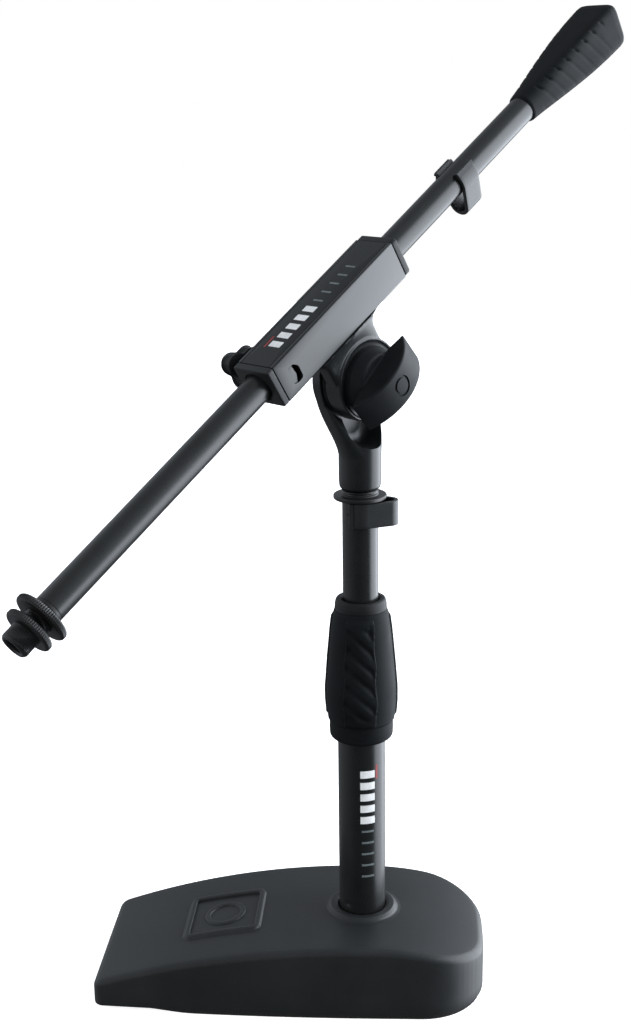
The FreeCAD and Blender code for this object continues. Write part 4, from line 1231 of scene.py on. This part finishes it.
    def lug(self) -> None:
        """The lug: a saddle under the shell, a web that narrows in a cove, and the round friction disc.

        The web's half length at depth d is lug_half + cove (1 - sqrt(1 - t^2)), with t falling from 1 at the
        saddle to 0 a cove's depth below it, which is a quarter circle.

        """
        top = -self.half_z
        saddle_low, saddle_high = BOOM.span("clamp_lug")
        outer, inner = float(saddle_low[1]), -1.2
        saddle = piece("saddle", [slab(rectangle(29.0, self.half_y - 1.6, 2.0), top - 1.2, top + 0.6, BOOM,
                                       edge=0.5, steps=4)])
        depth = np.concatenate([np.linspace(0.0, 9.0, 22), [14.0, 20.0, PIVOT_DROP + top]])[:, None]
        t = np.clip(1 - depth / 9.0, 0.0, 1.0)
        curl = 1 - np.sqrt(1 - t * t * 0.98)
        half_x = self.lug_half + 0.6 + self.cove * curl
        y_low = outer + 0.9 - 2.6 * curl
        y_high = inner + 10.5 * curl
        phi = np.linspace(0.0, 2 * np.pi, 72, endpoint=False)[None, :]
        cos = np.sign(np.cos(phi)) * np.abs(np.cos(phi)) ** 0.3
        sin = np.sign(np.sin(phi)) * np.abs(np.sin(phi)) ** 0.3
        grid = np.stack([half_x * cos, (y_low + y_high) / 2 + (y_high - y_low) / 2 * sin,
                         np.broadcast_to(top - depth, (len(depth), 72))], axis=-1)
        web = piece("web", [woven(BOOM.carry(with_poles(grid)), wrap_rows=False)])
        pivot = BOOM.moved(z=-PIVOT_DROP)
        disc = piece("disc", [turned(rounded_path([
            (0.0, outer + 0.9, 0.0), (self.ear_r - 2.0, outer + 0.9, 1.0), (self.ear_r - 1.4, outer, 0.6),
            (self.ear_r, outer + 0.1, 1.0), (self.ear_r, inner, 0.6), (0.0, inner, 0.0)], 7),
            pivot, Axis.Y, 128)])
        lug = cast_in_one("clamp_lug_shaped", [saddle, web, disc], voxel=0.5, passes=4)
        bore = np.array([(0.0, -30.0), (4.2, -30.0), (4.2, 30.0), (0.0, 30.0)])
        carve(lug, [turned(bore, pivot, Axis.Y, 48)], crease=50.0)
        install(lug, "clamp", "coated_die_casting", "clamp_lug")

    def build(self) -> None:
        """All pieces of the clamp."""
        self.shell()
        self.cover()
        self.end_caps()
        self.latch()
        self.lug()


# ---- boom lock ----------------------------------------------------------------------------------------
@dataclass
class BoomLock:
    """Small three-lobed hand screw on the clamp's far side."""

    hub_r: float = 8.4
    lobe: float = 2.6
    hollow: float = 0.2
    lobe_at: float = 10.0

    def build(self) -> None:
        """A rim with three lobes, r = hub + lobe (cos 3(a - lobe_at) + hollow), on a waisted hub."""
        low, high = BOOM.span("boom_lock_knob")
        place = BOOM.moved(x=float(joint_station()))
        angle = np.linspace(0.0, 2 * np.pi, 96, endpoint=False)
        wave = np.cos(3 * (angle - math.radians(self.lobe_at)))
        radius = self.hub_r + self.lobe * (wave + self.hollow)
        start, end = float(low[1]), float(high[1])
        outline = np.stack([radius * np.sin(angle), radius * np.cos(angle)], axis=1)
        rim = slab(outline, start + 4.0, end, place, Axis.Y, edge=1.4, steps=7)
        hub = turned(rounded_path([(3.2, start, 0.3), (6.2, start, 0.8), (5.6, start + 4.0, 0.4),
                                   (6.4, start + 5.0, 0.2), (3.2, start + 5.0, 0.0)], 6), place, Axis.Y, 64)
        install(piece("boom_lock_knob_shaped", [rim, hub], crease=50.0), "boom_lock", "knob_plastic",
                "boom_lock_knob")


def joint_station() -> float:
    """Station along the boom of the boom lock's screw."""
    return float((np.array(joint("boom_lock_turn")["pos_m"], float) / MM - BOOM.origin) @ BOOM.turn[:, 0])


# ---- boom ---------------------------------------------------------------------------------------------
@dataclass
class Boom:
    """Sliding boom: the tube, its threaded front end with two knurled rings, and the weighted grip."""

    bore: float = 6.8
    lip: float = 0.35
    dimple: tuple[float, float, float] = (-214.0, -62.0, 2.2)
    knurls: tuple[int, int] = (72, 64)
    knurl_depth: float = 0.45
    pitch: float = 0.94
    grip_stations: tuple[float, ...] = (0.0, 20.0, 40.5, 58.0, 74.5, 88.0, 91.5, 93.5, 95.0, 95.6)
    grip_halves: tuple[float, ...] = (8.8, 10.3, 11.8, 13.0, 13.8, 14.1, 13.8, 12.9, 11.4, 10.2)
    rib_pitch: float = 9.4
    rib_depth: float = 0.2

    def dent(self, angle: np.ndarray, station: np.ndarray, radius: np.ndarray) -> np.ndarray:
        """The crimp near the front end: minus depth times a bell of the distance from its centre."""
        at, heading, size = self.dimple
        beside = (angle - math.radians(heading) + np.pi) % (2 * np.pi) - np.pi
        away = (beside * radius / (0.55 * size)) ** 2 + ((station - at) / size) ** 2
        return -0.8 * np.exp(-away) * (radius > 7.0)

    def tube(self) -> None:
        """The tube, and the plug end that carries the thread."""
        low, high = BOOM.span("boom_tube")
        radius, start, end = float(high[2]), float(low[0]), float(high[0])
        fine = np.arange(start + 1.0, start + 20.0, 0.5)
        plain = np.arange(start + 20.0, end, 6.0)
        outer = np.column_stack([np.full(len(fine) + len(plain), radius), np.concatenate([fine, plain])])
        first = rounded_path([(self.bore, start, 0.2), (radius, start, self.lip), (radius, start + 1.0, 0.0)], 5)
        last = np.array([(radius, end), (self.bore, end)])
        section = merged(np.concatenate([first[:-1], outer, last]))
        tube = turned(section, BOOM, Axis.X, 96, swell=self.dent)
        install(piece("boom_tube_shaped", [tube]), "boom", "coated_steel_tube", "boom_tube")
        low, high = BOOM.span("boom_end_stud")
        tip = float(low[0])
        stud = spaced(rounded_path([
            (0.0, tip, 0.0), (4.3, tip, 0.6), (4.3, -234.0, 0.2), (7.6, -234.0, 0.4), (7.6, start - 2.0, 0.0),
            (radius, start - 2.0, 0.5), (radius, start, 0.1), (6.7, start, 0.0), (6.7, start + 20.0, 0.0),
            (0.0, start + 20.0, 0.0)], 5), 0.22)
        thread = turned(stud, BOOM, Axis.X, 64, swell=self.thread(7.3, 7.65, start - 2.2))
        install(piece("boom_end_stud_shaped", [thread], crease=60.0), "boom", "blackened_steel", "boom_end_stud")

    def thread(self, low: float, high: float, until: float) -> Swell:
        """The thread's swell where the plain radius is between low and high, up to a station.

        A helix: a triangle wave of station over pitch less angle over a full turn.
        """
        def swell(angle: np.ndarray, station: np.ndarray, radius: np.ndarray) -> np.ndarray:
            """Height of the thread at each point."""
            phase = (station / self.pitch - angle / (2 * np.pi)) % 1.0
            on = (radius > low) & (radius < high) & (station < until)
            return -0.5 * np.abs(2 * phase - 1) * on
        return swell

    def knurl(self, teeth: int, rim: float) -> Swell:
        """Straight knurling: a triangle wave round the rim, wherever the radius is near the rim's."""
        def swell(angle: np.ndarray, station: np.ndarray, radius: np.ndarray) -> np.ndarray:
            """Depth of the teeth at each point."""
            phase = (angle * teeth / (2 * np.pi)) % 1.0
            return -self.knurl_depth * np.abs(2 * phase - 1) * ramp(radius, rim - 1.2, rim - 0.5)
        return swell

    def rings(self) -> None:
        """The lock ring, and the adapter with its flange and threaded stub."""
        low, high = BOOM.span("boom_lock_ring")
        rim = float(high[2])
        ring = rounded_path([(7.8, low[0], 0.2), (rim - 2.2, low[0], 0.6), (rim - 0.7, low[0] + 0.4, 0.5),
                             (rim, low[0] + 1.3, 0.4), (rim, high[0] - 1.3, 0.4), (rim - 0.7, high[0] - 0.4, 0.5),
                             (rim - 2.2, high[0], 0.6), (7.8, high[0], 0.2)], 5)
        lock = turned(spaced(closed(ring), 0.6)[:-1], BOOM, Axis.X, self.knurls[0] * 6,
                      swell=self.knurl(self.knurls[0], rim))
        install(piece("boom_lock_ring_shaped", [lock], crease=60.0), "lock_ring", "blackened_steel",
                "boom_lock_ring")
        low, high = BOOM.span("thread_adapter")
        rim, end = float(high[2]), float(low[0])
        flange_x = float(high[0])
        adapter = rounded_path([
            (4.85, end + 1.0, 0.6), (5.6, end, 0.4), (6.8, end, 0.6), (7.94, end + 1.6, 0.6), (7.94, flange_x - 4.3, 0.2),
            (rim - 1.8, flange_x - 4.3, 0.6), (rim - 0.6, flange_x - 3.9, 0.4), (rim, flange_x - 3.1, 0.4),
            (rim, flange_x - 1.2, 0.4), (rim - 0.6, flange_x - 0.4, 0.4), (rim - 1.8, flange_x, 0.6),
            (4.85, flange_x, 0.2)], 5)
        teeth, thread = self.knurl(self.knurls[1], rim), self.thread(7.7, 7.97, flange_x - 4.4)

        def swell(angle: np.ndarray, station: np.ndarray, radius: np.ndarray) -> np.ndarray:
            """Knurled flange and threaded stub together."""
            return teeth(angle, station, radius) + thread(angle, station, radius)

        stub = turned(spaced(closed(adapter), 0.24)[:-1], BOOM, Axis.X, self.knurls[1] * 5, swell=swell)
        install(piece("thread_adapter_shaped", [stub], crease=60.0), "adapter", "blackened_steel",
                "thread_adapter")

    def grip(self) -> None:
        """The rubber sleeve over the counterweight.

        Its section is a superellipse, r = h / (|cos|^n + |sin|^n)^(1/n), whose half width h grows along a
        slightly bowed taper, and whose exponent n grows from a circle's towards a square's.  The side faces carry
        shallow slanting ribs, and a notch ends each rib near the upper edge.
        """
        low, high = BOOM.span("counterweight_grip")
        start, end = float(low[0]), float(high[0])
        share = np.linspace(0.0, 1.0, 150)
        length = end - start
        station = start + length * (1 - (1 - share) ** 1.15)
        taper = (station - start) / length
        half = np.interp(station, start + np.array(self.grip_stations), self.grip_halves)
        half[0] -= 0.7
        half[1] -= 0.2
        power = 2.35 + 3.6 * ramp(taper, 0.0, 0.7)
        angle = np.linspace(0.0, 2 * np.pi, 200, endpoint=False)[None, :]
        c, s = np.abs(np.cos(angle)), np.abs(np.sin(angle))
        n = power[:, None]
        radius = half[:, None] / (c ** n + s ** n) ** (1 / n)
        y, z = radius * np.cos(angle), radius * np.sin(angle)
        x = np.broadcast_to(station[:, None], y.shape)
        on_side = ramp(np.abs(y) - np.abs(z), -0.2, 2.2)
        line = x - start - 7.0 + 0.55 * z
        off = (line / self.rib_pitch + 0.5) % 1.0 - 0.5
        valley = np.exp(-(off * self.rib_pitch / 1.5) ** 2)
        reach = ramp(x, start + 8.0, start + 12.0) * (1 - ramp(x, end - 22.0, end - 15.0))
        notch = np.exp(-(off * self.rib_pitch / 0.8) ** 2 - ((z - 0.74 * half[:, None]) / 1.7) ** 2)
        sunk = (self.rib_depth * valley * on_side + 1.0 * notch * (np.abs(y) > 0.6 * np.abs(z))) * reach
        scale = (radius - sunk) / radius
        skin = np.stack([x, y * scale, z * scale], axis=-1)
        bore = 8.02
        inner = np.stack([np.broadcast_to(np.array([end - 12.0, start])[:, None], (2, 200)),
                          np.repeat(bore * np.cos(angle), 2, axis=0), np.repeat(bore * np.sin(angle), 2, axis=0)],
                         axis=-1)
        end_rows = skin[-1:] * np.array([1.0, 0.6, 0.6]) + np.array([0.5, 0.0, 0.0])
        flat = np.broadcast_to(np.array([end + 0.6, 0.0, 0.0]), (1, 200, 3))
        inner_pole = np.broadcast_to(np.array([end - 12.0, 0.0, 0.0]), (1, 200, 3))
        grid = np.concatenate([inner_pole, inner, skin, end_rows, flat])
        shell = woven(BOOM.carry(grid), wrap_rows=False)
        install(piece("counterweight_grip_shaped", [shell], crease=50.0), "boom", "grip_rubber",
                "counterweight_grip")

    def build(self) -> None:
        """Tube and stud, rings, and grip."""
        self.tube()
        self.rings()
        self.grip()


# ---- studio -------------------------------------------------------------------------------------------
@dataclass
class Studio:
    """Pale floor, white surround, two large soft lights, and the camera in front of the stand."""

    camera_at: tuple[float, float, float] = (29.6, -834.5, 534.0)
    heading: float = 3.78
    dip: float = 15.8
    roll: float = -0.8
    lens: float = 53.44
    floor_half: float = 3000.0
    floor_glow: float = 0.75
    front_level: float = 0.45
    back_level: float = 0.42
    left_gain: float = 2.4
    panel_level: float = 5.4
    cool: str = "#eff6ff"
    lights: tuple = field(default_factory=lambda: (
        ("key_light", (1500.0, -150.0, 700.0), (1300.0, 1800.0), 26.0),
        ("fill_light", (-900.0, -1500.0, 500.0), (1200.0, 1600.0), 24.0)))

    def camera(self) -> None:
        """The camera: forward from heading and dip, right level, up square to both, then rolled."""
        h, p, r = (math.radians(a) for a in (self.heading, self.dip, self.roll))
        forward = np.array([-math.sin(h) * math.cos(p), math.cos(h) * math.cos(p), -math.sin(p)])
        right = np.array([math.cos(h), math.sin(h), 0.0])
        up = np.cross(right, forward)
        right, up = right * math.cos(r) + up * math.sin(r), up * math.cos(r) - right * math.sin(r)
        turn = Matrix(np.column_stack([right, up, -forward]).tolist()).to_4x4()
        data = bpy.data.cameras.new("camera")
        data.lens, data.sensor_width = self.lens, 36.0
        data.clip_start, data.clip_end = 0.05, 50.0
        item = bpy.data.objects.new("camera", data)
        item.matrix_world = Matrix.Translation([v * MM for v in self.camera_at]) @ turn
        bpy.context.scene.collection.objects.link(item)
        bpy.context.scene.camera = item

    def soft_light(self, name: str, at: Sequence[float], size: Sequence[float], power: float) -> None:
        """A large rectangular soft light that faces the middle of the stand.

        Args:
            name: its name.
            at: where it stands, in millimetres.
            size: width and height.
            power: in watts.
        """
        data = bpy.data.lights.new(name, "AREA")
        data.shape, data.size, data.size_y = "RECTANGLE", size[0] * MM, size[1] * MM
        data.energy = power
        item = bpy.data.objects.new(name, data)
        back = unit(np.array(at) - np.array([0.0, 0.0, 280.0]))
        side = unit(np.cross([0.0, 0.0, 1.0], back))
        turn = Matrix(np.column_stack([side, np.cross(back, side), back]).tolist()).to_4x4()
        item.matrix_world = Matrix.Translation([v * MM for v in at]) @ turn
        item.visible_camera = False
        item.visible_glossy = False
        bpy.context.scene.collection.objects.link(item)

    def surround(self) -> None:
        """Studio surround, seen plain white, with one tall bright panel on the right in reflections.

        The rest is dim, and falls off to the front and below the horizon.  The panel's brightness is the product of
        smooth steps in the direction's X, Y and Z, one for each of its sides.
        """
        world = bpy.data.worlds.new("studio")
        world.use_nodes = True
        tree = world.node_tree
        tree.nodes.clear()
        look = add_node(tree, "ShaderNodeTexCoord").outputs["Generated"]
        parts = add_node(tree, "ShaderNodeSeparateXYZ", {0: look})

        def step(axis: str, start: float, end: float, low: float, high: float) -> bpy.types.NodeSocket:
            """A smooth step along one axis of the direction."""
            limits = {"Value": parts.outputs[axis], "From Min": start, "From Max": end, "To Min": low,
                      "To Max": high}
            return add_node(tree, "ShaderNodeMapRange", limits, interpolation_type="SMOOTHSTEP").outputs[0]

        def product(*factors: bpy.types.NodeSocket) -> bpy.types.NodeSocket:
            """The product of several values."""
            total = factors[0]
            for factor in factors[1:]:
                total = add_node(tree, "ShaderNodeMath", {0: total, 1: factor}, operation="MULTIPLY").outputs[0]
            return total

        dim = product(step("Y", -0.8, 0.0, self.front_level, 1.0), step("Z", -0.35, 0.05, 0.3, 1.0),
                      step("X", -0.2, 0.7, self.back_level, 2.2 * self.back_level),
                      step("X", -0.8, -0.3, self.left_gain, 1.0))
        panel = product(step("X", 0.35, 0.7, 0.0, self.panel_level), step("Y", -0.42, -0.22, 0.0, 1.0),
                        step("Z", -0.7, -0.3, 0.0, 1.0), step("Z", 0.5, 0.8, 1.0, 0.0))
        shown = add_node(tree, "ShaderNodeMath", {0: dim, 1: panel}, operation="ADD").outputs[0]
        seen = add_node(tree, "ShaderNodeLightPath").outputs["Is Camera Ray"]
        level = add_node(tree, "ShaderNodeMix", {0: seen, 2: shown, 3: 1.0}, data_type="FLOAT").outputs[0]
        tint = add_node(tree, "ShaderNodeMix", {0: seen, 6: linear(self.cool), 7: linear("#ffffff")},
                        data_type="RGBA").outputs[2]
        back = add_node(tree, "ShaderNodeBackground", {"Color": tint, "Strength": level})
        add_node(tree, "ShaderNodeOutputWorld", {"Surface": back.outputs[0]})
        bpy.context.scene.world = world

    def floor(self) -> None:
        """A plain pale floor just under the stand."""
        marks = np.linspace(-self.floor_half, self.floor_half, 4)
        x, y = np.meshgrid(marks, marks)
        item = piece("floor", [woven(np.stack([x, y, 0.0 * x - 0.3], axis=-1), False, wrap_columns=False)])
        item.data.shade_flat()
        paper = bpy.data.materials.new("lit_white_paper")
        paper.use_nodes = True
        shader = paper.node_tree.nodes["Principled BSDF"]
        shader.inputs["Base Color"].default_value = linear("#f4f4f4")
        shader.inputs["Roughness"].default_value = 0.9
        shader.inputs["Emission Color"].default_value = linear("#ffffff")
        shader.inputs["Emission Strength"].default_value = self.floor_glow
        item.data.materials.append(paper)
        item.visible_glossy = False
        item.visible_diffuse = False

    def build(self) -> None:
        """Camera, lights, surround and floor."""
        self.camera()
        self.surround()
        self.floor()
        for light in self.lights:
            self.soft_light(*light)
        bpy.context.scene.view_settings.view_transform = "Standard"


def dress_cad_nodes() -> None:
    """Give every CAD node the finish of its slot, whether it is in view or stood for."""
    slots = {node: entry["slot"] for entry in frame["record"]["materials"] for node in entry.get("nodes", [])}
    for name, item in frame["nodes"].items():
        slot = slots.get(name) or item.get("material_slot") or "moulded_nylon"
        SLOT_FINISH[slot].dress(item)


def main() -> None:
    """Build every sub-assembly in order."""
    logging.basicConfig(level=logging.INFO, format="%(message)s")
    dress_cad_nodes()
    Studio().build()
    Base().build()
    Mast().build()
    Clutch().build()
    clip_z = float(STAND.span("mast_cable_clip")[0][2])
    CableClip("mast_cable_clip_shaped", "mast_cable_clip", "mast_clip", 10.3, 15.4,
              STAND.moved(z=clip_z), mouth=60.0).build()
    clip_x = float(BOOM.span("boom_cable_clip")[0][0])
    upright = BOOM.moved(x=clip_x).tilted(-90.0)
    CableClip("boom_cable_clip_shaped", "boom_cable_clip", "boom_clip", 8.0, 14.6, upright).build()
    BoomHead().build()
    TiltKnob().build()
    BoomClamp().build()
    BoomLock().build()
    Boom().build()


if __name__ == "__main__":
    main()
